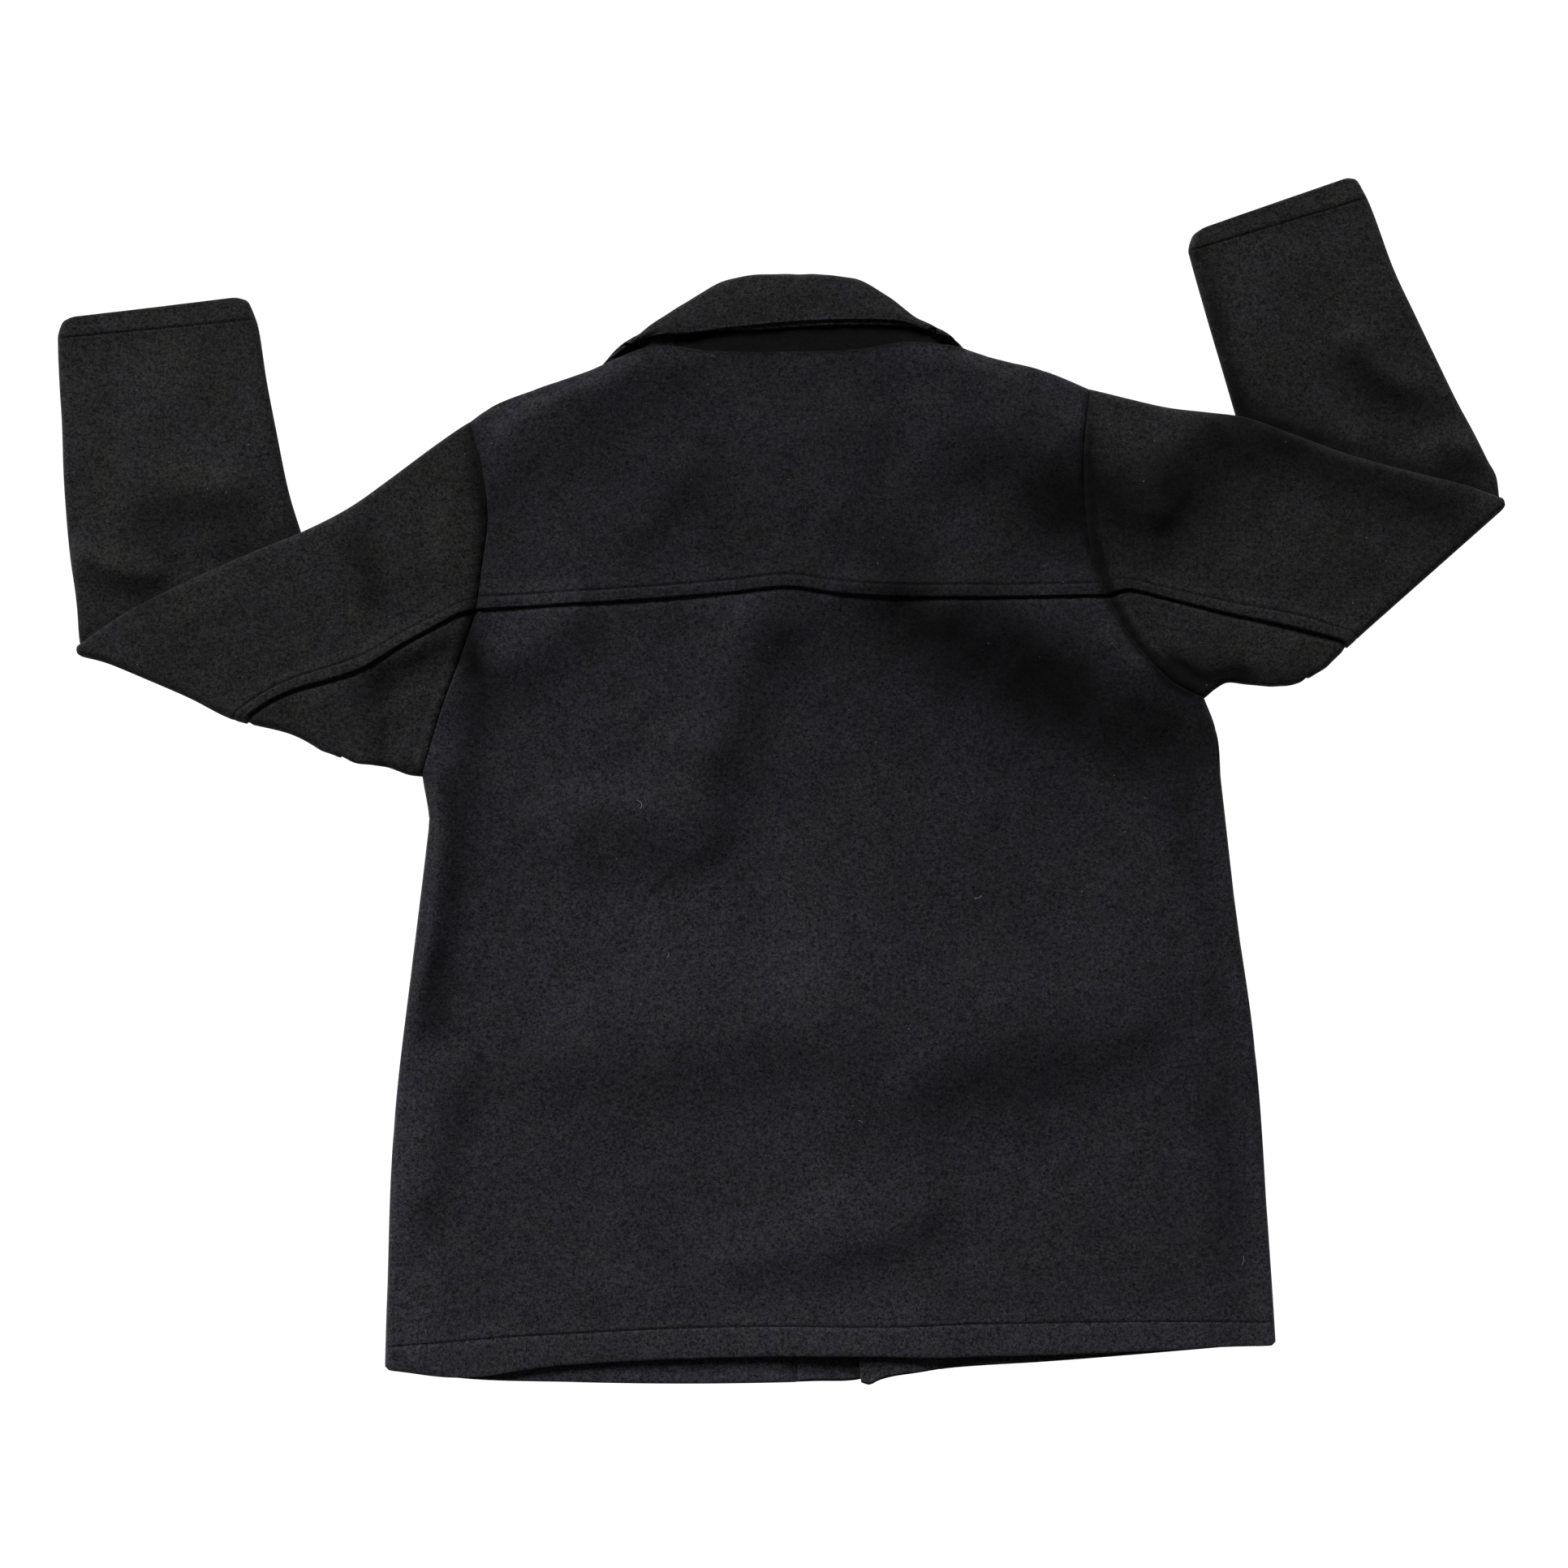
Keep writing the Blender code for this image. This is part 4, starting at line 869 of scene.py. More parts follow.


def make_yoke(finish):
    """(yoke, its outer grid)."""
    edges = []
    for side in ("left", "right"):
        edges.append(armhole_plan(side, 1, armhole_stops(side)["upper"][::-1], -SEAM / 2))
    left, neck, right = back_shares()
    top = np.vstack([
        along(LEFT_SHOULDER, left / left[-1]),
        along(BACK_NECK, (neck - left[-1]) / (right[0] - left[-1])),
        along(RIGHT_SHOULDER, (1 - right) / (1 - right[0])),
    ])
    top = pinned(top, edges[0][-1], edges[1][-1])
    shares = np.concatenate((left, neck, right))
    bottom = pinned(along(YOKE_EDGE, shares), edges[0][0], edges[1][0])
    plan = patch(*edges, bottom, top, shares)
    over = over_yoke_edge(plan[..., 0], plan[..., 1])
    steps = lap_stops(0.0)[::-1]
    for row in range(1, len(steps) + 5):
        past = max(0, row - len(steps) + 1)
        there = past * STEP - steps[row - past]
        fade = 1 - ease(past / 6)
        plan[row, 1:-1, 1] += fade * (there - over[row])[1:-1]
    over = over_yoke_edge(plan[..., 0], plan[..., 1])
    lapped = 1 - ease((over - LAP * 0.62) / (LAP * 0.5))
    thickness = CLOTH + (LAP_WALL - CLOTH) * lapped
    lift = LAP_RAISE * (1 - ease((over - 5) / 17)) + furrow(over - LAP)
    lift = lift + 0.18 * np.sin(plan[..., 0] / 3.1) * np.exp(-((over / 5) ** 2))
    outer, inner = body_wall(plan, 1, neck_rise, thickness, lift)
    shade = LINE_SHADE * furrow(over - LAP)
    shade[-2:, left.size : -right.size] -= NECK_EDGE_SHADE
    return shell("yoke_cloth", outer, inner, finish, free=("first_row",), shade=shade), outer


ROPING = 0.22  # height of the ripples
ROPED = 24.0  # how far up from the hem's edge they lie


def roping(distance, x):
    """The slant ripples between the turned hem's edge and its stitching, distance up from the edge."""
    ripple = ROPING * np.sin((x + 1.4 * distance) / 4.4 + 1.6 * np.sin(x / 31))
    return ripple * np.exp(-(((distance - ROPED / 2) / 8) ** 2))


NECK_SHARE = 0.42  # where a front's shoulder meets its neck, as a share of its width
FACED = 0.81  # where its facing starts
# Shares of a front's width, and how many points lie on the way to the next.
FRONT_STRIPS = (
    (0, 3), (0.02, 3), (0.055, 15), (0.18, 14), (0.30, 14), (NECK_SHARE, 15),
    (0.55, 15), (0.68, 14), (0.80, 2), (FACED, 6), (0.87, 6), (0.93, 7), (1.0, 1),
)
FACING_LENGTH = 66  # of the facing that shows, from the hem


def front_shares():
    """Shares of a front's width, from its side seam to its edge."""
    shares = []
    for (start, count), (end, _) in zip(FRONT_STRIPS, FRONT_STRIPS[1:]):
        shares += spread(start, end, count)
    return np.array(shares + [1.0])


def front_plan(side, shares):
    """Plan points of a front, rows up from the hem."""
    left = side == "left"
    shoulder, neck = (LEFT_SHOULDER, LEFT_FRONT_NECK) if left else (RIGHT_SHOULDER, RIGHT_FRONT_NECK)
    hem = LEFT_HEM if left else RIGHT_HEM[::-1]
    under = armhole_stops(side)["under"]
    outer = np.vstack([side_rows(side), armhole_plan(side, -1, under[::-1], -SEAM / 2)])
    at_neck = int(np.argmin(np.abs(shares - NECK_SHARE)))
    corner = shares[at_neck]
    top = np.vstack([
        along(shoulder, shares[: at_neck + 1] / corner),
        along(neck, (shares[at_neck + 1 :] - corner) / (1 - corner)),
    ])
    top = pinned(top, outer[-1], neck[-1])
    bottom = pinned(along(hem, shares), outer[0], hem[-1])
    rise = run_lengths(outer) / length_of(outer)
    edge = bottom[-1] + rise[:, None] * (top[-1] - bottom[-1])
    return patch(outer, edge, bottom, top, shares)


def make_front(side, finish):
    """(front, the lowest stretch of its facing)."""
    shares = front_shares()
    plan = front_plan(side, shares)
    low, hem = (left_low, LEFT_HEM) if side == "left" else (right_low, RIGHT_HEM)
    from_hem = nearest(hem, plan[..., 0], plan[..., 1])[1]
    first = int(np.argmin(np.abs(shares - FACED)))
    before_facing = np.arange(shares.size) < first - 1
    turned = (1 - ease((from_hem - HEM + 1) / 2)) * before_facing
    outer, inner = body_wall(plan, -1, low, CLOTH + (TURNED - CLOTH) * turned)
    front = shell(f"front_{side}_cloth", outer, inner, finish, free=("first_row", "last_column"))
    last = int(np.argmin(np.abs(run_lengths(plan[:, -1]) - FACING_LENGTH)))
    under = inner[:last, first:] + (0, 0, SEAM)
    under[0] += (under[1] - under[0]) * 0.5
    free = ("first_row", "last_column", "first_column")
    return front, shell(f"facing_{side}_cloth", under + (0, 0, FACING), under, finish, free=free)


# --- sleeves ----------------------------------------------------------------------------------------

UNDER_COUNT = 34  # points across the face that lies below
CUFF_DEPTH = 17.0  # of the cuffs' stitching
CUFF_CORNER = 6.0  # the radius of the cuffs' corners
FOLD_SECTIONS = 13  # round the elbow's fold
PRESSED_LAP = 1.2  # how much thinner a lap is where the fold presses it
PINCH = 0.55  # how much flatter the fold is at edge b
PINCH_REACH = 16
FAR = 99.0  # from any stitching
DEEPEST_SLEEVE = 2.2  # the most that a trough sinks into a sleeve


def sleeve_stops(length, seam):
    """Stops round a section: from the seam's lap back to edge a, on below to edge b, and up to the seam."""
    return before_lap(seam)[::-1], stops_across(length, UNDER_COUNT)[1:], past_lap(seam, length)


def lap_share(stops, seam):
    """1 on a lap, falling to 0 behind its stitching."""
    return ease((np.array(stops) - seam + LAP) / (LAP * 0.35))


def swell_share(stops, seam):
    """1 on a lap, falling to 0 well behind it, as the cloth comes down off the allowances."""
    return ease((np.array(stops) - seam + 20) / 15)


def sink_share(stops, seam):
    """1 under a lap, falling to 0 past its edge."""
    return 1 - ease((np.array(stops) - seam - 1) / (LAP_CLEAR - 1))


def ring_profile(stops, length, thick):
    """(height over the middle, level part and rising part of the way to the wall's inside) at each stop."""
    stops = np.array(stops)
    share = rolled(np.minimum(stops, length - stops))
    inside = np.where(stops < length / 2, 1.0, -1.0)
    return thick / 2 * share, inside * np.sqrt(np.clip(1 - share**2, 0, 1)), share


def walled(stops, height, level, rise, walls):
    """(distance, height, inner distance, inner height, share on the seen face) at each stop."""
    return np.array(stops), height, np.array(stops) + level * walls, height - rise * walls, rise


def sleeve_ring(row, piece, under_itself, pressed):
    """What walled gives, round one piece of a section; under_itself goes from 0 to 1 through the fold."""
    length = math.hypot(row["bx"] - row["ax"], row["by"] - row["ay"])
    seam = row["seam"] * length
    over, below, under = sleeve_stops(length, seam)
    ply = row["ply"]
    raised = LAP_RAISE * (1 - under_itself) * (1 - 0.6 * pressed)
    lap_wall = LAP_WALL - PRESSED_LAP * pressed
    if piece == "under":
        height, level, rise = ring_profile(under, length, row["thick"])
        sunk = sink_share(under, seam)
        height = height - (lap_wall + SEAM - raised) * sunk
        height[-1] = SEAM / 2
        return walled(under, height, level, rise, ply + (CLOTH - ply) * sunk - 0.8 * pressed * sunk)
    height, level, rise = ring_profile(over, length, row["thick"])
    line = np.array(over) - seam + LAP
    height = height + raised * swell_share(over, seam) + furrow(line) * (1 - under_itself)
    top = walled(over, height, level, rise, ply + (lap_wall - ply) * lap_share(over, seam))
    height, level, rise = ring_profile(below, length, row["thick"])
    height[-1] = SEAM / 2
    bottom = walled(below, -height, level, -rise, ply)
    return tuple(np.concatenate(pair) for pair in zip(top, bottom))


def armhole_ring(side, piece):
    """(outer, inner) points of a sleeve piece where it meets the body."""
    stops, lap = armhole_stops(side), lap_length(side)
    if piece == "under":
        layers = [(1, stops["lower"])]
    else:
        below = stops_across(length_of(ARMHOLES[side]["front"]), UNDER_COUNT)[1:]
        layers = [(1, stops["upper"][::-1]), (-1, below)]
    parts = []
    for layer, distances in layers:
        plan = armhole_plan(side, layer, distances, SEAM / 2)[None]
        lift, thickness = 0.0, np.full((1, len(distances)), CLOTH)
        if piece == "under":
            lift = -LAP_SINK * sink_share(distances, lap)
        elif layer > 0:
            lift = LAP_RAISE * swell_share(distances, lap)
            thickness[0] += (LAP_WALL - CLOTH) * lap_share(distances, lap)
        outer, inner = body_wall(plan, layer, neck_rise, thickness, lift)
        total = length_of(ARMHOLES[side]["back" if layer > 0 else "front"])
        _, level, _ = ring_profile(distances, total, 0.0)
        _, down = armhole_frame(side, layer, distances)
        inner[0, :, :2] = outer[0, :, :2] + (level * thickness[0])[:, None] * down
        parts.append((outer[0], inner[0]))
    return [np.vstack(grids) for grids in zip(*parts)]


def placed_ring(row, piece, angle):
    """(outer points, inner points, share on the seen face) of a section, turned over by an angle."""
    a, b = np.array([row["ax"], row["ay"]]), np.array([row["bx"], row["by"]])
    length = np.linalg.norm(b - a)
    run = (b - a) / length
    outward = np.array([run[1], -run[0]]) * np.sign(run[1] * row["out_x"] + run[0] * 0.8)
    turn, share = math.radians(angle), angle / 180
    middle = row["low"] + row["thick"] / 2
    radius, pressed, pinch = 0.0, 0.0, 0.0
    if row["turn"]:
        middle, radius = (middle + BENEATH / 2) / 2, (middle - BENEATH / 2) / 2
        pressed, pinch = math.sin(turn), PINCH
        row = dict(row, thick=row["thick"] * (1 - share) + BENEATH * share)
    distance, height, inner_distance, inner_height, seen = sleeve_ring(row, piece, share, pressed)
    grids = []
    for way, rise in ((distance, height), (inner_distance, inner_height)):
        flatter = 1 - pinch * ease((way - length + PINCH_REACH) / PINCH_REACH)
        out = (radius + rise) * math.sin(turn) * flatter
        above = middle + (radius + rise) * math.cos(turn)
        grids.append(np.column_stack([a + way[:, None] * run + out[:, None] * outward, above]))
    return *grids, seen * math.cos(turn)


def cuff_stops(end):
    """(stops from the fold to the cuff's edge, their distance from the stitching, their rounded inset)."""
    line = end - CUFF_DEPTH
    before = line - BESIDE
    stops = spread(0, before, count_for(before)) + [before] + [line + s for s in FURROW]
    stops = np.array(stops + spread(line + BESIDE, end - 4.6, 3) + [end - s for s in (4.6, 3.4, 2.3, 0)])
    return stops, stops - line, corner_inset(end - stops, CUFF_CORNER)


def sleeve_rows(side):
    """Sections from the armhole to the fold, and from the fold to the cuff, read off the tables closely."""
    upper, forearm = np.array(UPPER_ARMS[side], float), FOREARMS[side]
    hole = ARMHOLES[side]["back"]
    armhole = [*hole[0], *hole[-1], *upper[0, 4:7], 1.0]
    fold = upper[-1]
    lower = [[*fold[:4], 0.0, BENEATH, fold[6], 0.0]]
    lower += [[*row[:4], 0.0, row[4], fold[6], 0.0] for row in forearm]
    names = [*UPPER_COLUMNS, "half_arm", "ply"]
    parts = []
    for part, has_cuff in ((np.vstack([armhole, upper]), False), (np.array(lower), True)):
        arm = part[:, 7]
        ply = np.full(len(part), CLOTH)
        if has_cuff:
            ply[-2:] = TURNED
        part = np.column_stack([part, np.where(arm == 1.0, 1.0, arm * 0.5), ply])
        knots = run_lengths((part[:, 0:2] + part[:, 2:4]) / 2)
        end = knots[-1]
        if has_cuff:
            stops, to_line, inset = cuff_stops(end)
        else:
            stops = np.linspace(0, end, count_for(end) + 1)
            to_line, inset = np.full(len(stops), FAR), np.zeros(len(stops))
        fine = eased_table(knots, part, stops)
        run = fine[:, 2:4] - fine[:, 0:2]
        run /= np.linalg.norm(run, axis=1, keepdims=True)
        fine[:, 0:2] += run * inset[:, None]
        fine[:, 2:4] -= run * inset[:, None]
        parts.append([dict(zip(names, values), turn=0, to_line=at) for values, at in zip(fine, to_line)])
    turning = dict(zip(names, [*fold, 0.0, CLOTH]), turn=1, to_line=FAR)
    return parts[0][:-1], turning, parts[1][1:]


def make_sleeve(side, piece, finish):
    """(piece of a sleeve, the paths of the topstitching on it)."""
    upper, fold, forearm = sleeve_rows(side)
    for row in (*upper, fold, *forearm):
        row["out_x"] = ARMHOLES[side]["outward"]
    placed = [placed_ring(row, piece, 0) for row in upper]
    placed += [placed_ring(fold, piece, angle) for angle in np.linspace(0, 180, FOLD_SECTIONS)]
    placed += [placed_ring(row, piece, 180) for row in forearm]
    outer, inner, seen = (np.array(grid) for grid in zip(*placed))
    turn_at, forearm_at = len(upper), len(upper) + FOLD_SECTIONS
    shares = np.array([[row["arm"], row["arm"], row["half_arm"]] for row in upper])[:, None]
    for grid, start in zip((outer, inner), armhole_ring(side, piece)):
        grid[:turn_at] += shares * (start - grid[0])

    on_upper, on_forearm = np.zeros(seen.shape), np.zeros(seen.shape)
    on_upper[:turn_at] = np.clip(seen[:turn_at] * ease(np.arange(turn_at) / 10)[:, None], 0, 1)
    on_forearm[forearm_at:] = np.clip(seen[forearm_at:], 0, 1)
    fade = np.ones(len(placed))
    fade[:turn_at] = ease((turn_at - np.arange(turn_at)) / 5)
    fade[forearm_at:] = ease(np.arange(1, len(forearm) + 1) / 5)
    x, y = outer[..., 0], outer[..., 1]
    relief = creases(UPPER_CREASES[side], x, y, 31) + 0.5 * swell(x, y, 90, 33) + 0.2 * swell(x, y, 30, 34)
    lower = creases(FOREARM_CREASES[side], x, y, 41) + 0.5 * swell(x, y, 90, 43) + 0.2 * swell(x, y, 30, 44)
    lower = lower * uncovered(side, x, y)
    rise = (relief * on_upper + lower * on_forearm) * fade[:, None]
    rise = np.where(rise < 0, -DEEPEST_SLEEVE * np.tanh(-rise / DEEPEST_SLEEVE), rise)
    dip = armpit_dip(side, x, y) * (on_upper > 0.2)
    rise = rise - dip * np.clip(np.arange(len(placed)) / 2, 0, 1)[:, None]
    to_line = np.array([row["to_line"] for row in (*upper, *[fold] * FOLD_SECTIONS, *forearm)])
    cuff_line = furrow(to_line)[:, None] * on_forearm
    move = pulled(outer, PULLS[side]) + (rise + cuff_line)[..., None] * (0, 0, 1)
    outer, inner = outer + move, inner + move

    # painted shade in the cuff's furrow, in the dip beside the armhole and along the seam's stitching
    shade = CUFF_LINE_SHADE * cuff_line - ARMPIT_SHADE[side] * dip
    if piece == "top":
        beside_line = slice(-AT_LAP_LINE - 2, -AT_LAP_LINE + 1)
        shade[:turn_at, beside_line] += LINE_SHADE * furrow(np.array((0.75, 0.0, -0.75)))
    made = shell(f"sleeve_{side}_{piece}_cloth", outer, inner, finish, free=("last_row",), shade=shade)
    if piece == "under":
        return made, []
    seam_path = outer[2 : turn_at - 2, -AT_LAP_LINE - 1]
    cuff_path = outer[int(np.argmin(np.abs(to_line))), len(before_lap(FAR)) :]
    return made, [seam_path, cuff_path[7:-7]]


def uncovered(side, x, y):
    """1 where the forearm lies open, 0 where the upper arm lies on it."""
    edge = sorted((row[0], row[1]) for row in UPPER_ARMS[side] if row[4] > 8)
    line = np.interp(x, *np.transpose(edge))
    return ease((y - line - 2) / 14)


# --- collar -----------------------------------------------------------------------------------------

STAND_POINTS, ROLL_POINTS, LEAF_POINTS = 12, 15, 13
COLLAR_SECTIONS = 230
LEAF_CROWN = 0.9  # how far the leaf arches over what it lies on
PEEK = 3.6  # how far the under collar shows past the leaf's edge at the back
STAND_SHADE = -0.78  # painted shadow down inside the back of the collar, under the leaf
EDGE_HIGHLIGHT = 0.9  # painted highlight on the leaf's edge


def collar_line(row):
    """(points, directions out of the fold) across the collar: up the stand, over the roll, down the leaf.

    A row's letters n, f and l stand for the seam at the neck, the crest and the leaf's edge.
    """
    seam_end, crest, edge = (np.array([row[key + axis] for axis in "xyz"]) for key in "nfl")
    turn, bend = math.radians(row["out"]), math.radians(row["bend"])
    up = np.array([row["fx"] - row["nx"], row["fy"] - row["ny"], 0.0])
    up /= np.linalg.norm(up)
    side = np.array([math.cos(turn), 0.0, math.sin(turn)])
    side -= up * (side @ up)
    side /= np.linalg.norm(side)
    stops = np.linspace(0, 1, ROLL_POINTS)
    facing = [math.sin(s * bend) * up - math.cos(s * bend) * side for s in (*stops, 0.5)]
    centre = crest - row["gap"] / 2 * facing.pop()
    roll = [centre + row["gap"] / 2 * direction for direction in facing]
    stand = [seam_end + s * (roll[0] - seam_end) for s in np.arange(STAND_POINTS) / STAND_POINTS]
    leaf = []
    for s in np.arange(1, LEAF_POINTS + 1) / LEAF_POINTS:
        leaf.append(roll[-1] + s * (edge - roll[-1]) + (0, 0, LEAF_CROWN * math.sin(math.pi * s)))
    facings = [facing[0]] * STAND_POINTS + facing + [facing[-1]] * LEAF_POINTS
    return np.array(stand + roll + leaf), np.array(facings)


def normals(grid, facing):
    """Directions square to a grid of points, on the side that it faces."""
    square = np.cross(np.gradient(grid, axis=0), np.gradient(grid, axis=1))
    square /= np.linalg.norm(square, axis=-1, keepdims=True)
    return square * np.sign((square * facing).sum(axis=-1, keepdims=True))


def make_collar(finish):
    """The top collar and the under collar, which shows past the leaf's edge."""
    values = np.array(COLLAR, float)
    knots = run_lengths(values[:, 3:6] + values[:, 6:9])
    fine = eased_table(knots, values, np.linspace(0, knots[-1], COLLAR_SECTIONS))
    lines = [collar_line(dict(zip(COLLAR_COLUMNS, row))) for row in fine]
    middle, facing = (np.array(grid) for grid in zip(*lines))
    out = normals(middle, facing)
    x, y = middle[..., 0], middle[..., 1]
    columns = np.arange(middle.shape[1])
    # painted shadow on the stand under the leaf, and a painted highlight on the leaf's edge
    painted_shadow_stand = (columns < STAND_POINTS + 2) & (y > 300) & (x > -84) & (x < 150)
    painted_highlight_edge = (columns == columns[-1]) & (y > 325) & (x > -118) & (x < 140)
    shade = STAND_SHADE * painted_shadow_stand + EDGE_HIGHLIGHT * painted_highlight_edge
    behind = ((y > 334) & (x > -118) & (x < 132)) * np.linspace(0, 1, columns.size)
    waves = 0.5 * swell(x, y, 46, 51) + 0.25 * swell(x, y, 17, 52)
    middle = middle + out * (behind * waves)[..., None]
    peek = PEEK * ease((x[:, -1] + 60) / 50) * ease((150 - x[:, -1]) / 30) * (y[:, -1] > 325)
    lower = middle.copy()
    run = middle[:, -1] - middle[:, -3]
    run /= np.linalg.norm(run, axis=-1, keepdims=True)
    for column, share in ((-1, 1.0), (-2, 0.55), (-3, 0.2)):
        lower[:, column] += run * (peek * share)[:, None]
    free = ("last_column", "first_row", "last_row")
    plies = []
    for name, grid, way in (("collar_top_cloth", middle, 1), ("collar_under_cloth", lower, -1)):
        faces = grid + way * out * (SEAM / 2 + CLOTH), grid + way * out * SEAM / 2
        if way < 0:
            faces = faces[::-1]
        plies.append(shell(name, *faces, finish, free=free, shade=shade))
    return plies


# --- stitching --------------------------------------------------------------------------------------

STITCH = 3.6  # from one needle hole to the next
THREAD = 0.34  # the thread's radius
THREAD_SIDES, THREAD_RINGS = 6, 5
HAIR = 0.13  # a hair's radius
HAIR_SIDES, HAIR_RINGS = 5, 9
# Hairs caught in the nap: where, how long, heading and how far round they curl, in degrees.
LINT = (
    (-111, -22, 9, 100, 150), (145, -90, 6, 20, 60), (-90, -135, 4, 60, 90),
    (350, -371, 7, 80, 40), (60, -262, 4, 140, 80),
)


def thread_ring(centre, radius, across, up, sides):
    """Points round a thread or a hair."""
    turns = [math.tau * j / sides for j in range(sides)]
    return [centre + radius * (math.cos(turn) * across + math.sin(turn) * up) for turn in turns]


def tube_faces(first, rings, sides):
    """Faces of a closed tube whose rings of points start at an index."""
    faces = []
    for i in range(rings - 1):
        for j in range(sides):
            a, b = first + i * sides + j, first + i * sides + (j + 1) % sides
            faces.append((a, b, b + sides, a + sides))
    last = first + (rings - 1) * sides
    return faces + [tuple(range(first, first + sides))[::-1], tuple(range(last, last + sides))]


def stitch_row(path):
    """Short arched stitches along a path of points on the cloth."""
    count = int(length_of(path) / STITCH)
    ends = along(path, (np.arange(count + 1) + 0.5) / (count + 1.5))
    points, faces = [], []
    for start, end in zip(ends[:-1], ends[1:]):
        run = end - start
        flat = run / np.linalg.norm(run)
        across = np.array([-flat[1], flat[0], 0.0])
        across /= np.linalg.norm(across)
        up = np.cross(flat, across)
        up *= np.sign(up[2])
        faces += tube_faces(len(points), THREAD_RINGS, THREAD_SIDES)
        for s in np.linspace(0, 1, THREAD_RINGS):
            arch = math.sin(math.pi * s)
            centre = start + run * (0.1 + 0.8 * s) + up * (0.22 * arch - 0.1)
            radius = THREAD * (0.45 + 0.55 * math.sqrt(max(0, arch)))
            points += thread_ring(centre, radius, across, up, THREAD_SIDES)
    return points, faces


def hair_row(grid, x, y, length, heading, curl):
    """A fine hair that lies curled on the cloth."""
    turns = np.radians(heading + curl * np.linspace(-0.5, 0.5, HAIR_RINGS))
    steps = np.stack([np.cos(turns), np.sin(turns)], axis=1) * length / (HAIR_RINGS - 1)
    points = []
    for at, turn in zip(np.cumsum(steps, axis=0) + (x, y), turns):
        nearness = 1 / (np.sum((grid[..., :2] - at) ** 2, axis=-1) + 0.5) ** 2
        height = np.sum(nearness * grid[..., 2]) / np.sum(nearness) + 0.25
        across = np.array([-math.sin(turn), math.cos(turn), 0.0])
        points += thread_ring(np.array([*at, height]), HAIR, across, np.array([0.0, 0.0, 1.0]), HAIR_SIDES)
    return points, tube_faces(0, HAIR_RINGS, HAIR_SIDES)


def add_rows(name, made_rows, finish):
    """One mesh of several rows of stitches or hairs."""
    points, faces = [], []
    for more, loops in made_rows:
        faces += [tuple(len(points) + i for i in loop) for loop in loops]
        points += more
    return add_mesh(name, points, faces, finish)


# --- finishes ---------------------------------------------------------------------------------------


def new_group(name, inputs, outputs):
    group = bpy.data.node_groups.new(name, "ShaderNodeTree")
    for label, kind, value in inputs:
        socket = group.interface.new_socket(label, in_out="INPUT", socket_type=kind)
        socket.default_value = value
    for label, kind in outputs:
        group.interface.new_socket(label, in_out="OUTPUT", socket_type=kind)
    return group, group.nodes.new("NodeGroupInput"), group.nodes.new("NodeGroupOutput")


def add_node(tree, kind, **settings):
    node = tree.nodes.new(kind)
    for key, value in settings.items():
        setattr(node, key, value)
    return node


def feed(tree, node, **values):
    """Fill a node's named sockets, each from another's output or with a plain value."""
    for label, value in values.items():
        socket = node.inputs[label.replace("_", " ")]
        if isinstance(value, bpy.types.NodeSocket):
            tree.links.new(value, socket)
        else:
            socket.default_value = value


def noise(tree, where, scale, detail, roughness, distortion=0.0):
    node = add_node(tree, "ShaderNodeTexNoise")
    feed(tree, node, Vector=where, Scale=scale, Detail=detail, Roughness=roughness, Distortion=distortion)
    return node.outputs["Fac"]


def reckon(tree, operation, *values):
    node = add_node(tree, "ShaderNodeMath", operation=operation)
    for socket, value in zip(node.inputs, values):
        if isinstance(value, bpy.types.NodeSocket):
            tree.links.new(value, socket)
        else:
            socket.default_value = value
    return node.outputs[0]


def remap(tree, value, low, high, to_low=0.0, to_high=1.0):
    node = add_node(tree, "ShaderNodeMapRange")
    feed(tree, node, Value=value, From_Min=low, From_Max=high, To_Min=to_low, To_Max=to_high)
    return node.outputs["Result"]


def mixed(tree, factor, one, two, blend="MIX"):
    """A colour between two others, or blended from them."""
    node = add_node(tree, "ShaderNodeMix", data_type="RGBA", blend_type=blend)
    feed(tree, node, Factor=factor, A=one, B=two)
    return node.outputs["Result"]


def add_bump(tree, shader, height, strength, distance):
    bump = add_node(tree, "ShaderNodeBump")
    feed(tree, bump, Strength=strength, Distance=distance, Height=height)
    feed(tree, shader, Normal=bump.outputs["Normal"])


DARKEST = 0.08  # painted shade never darkens the nap below this share of its own tone
SPECK = (0.13, 0.13, 0.125, 1)  # the colour of dust


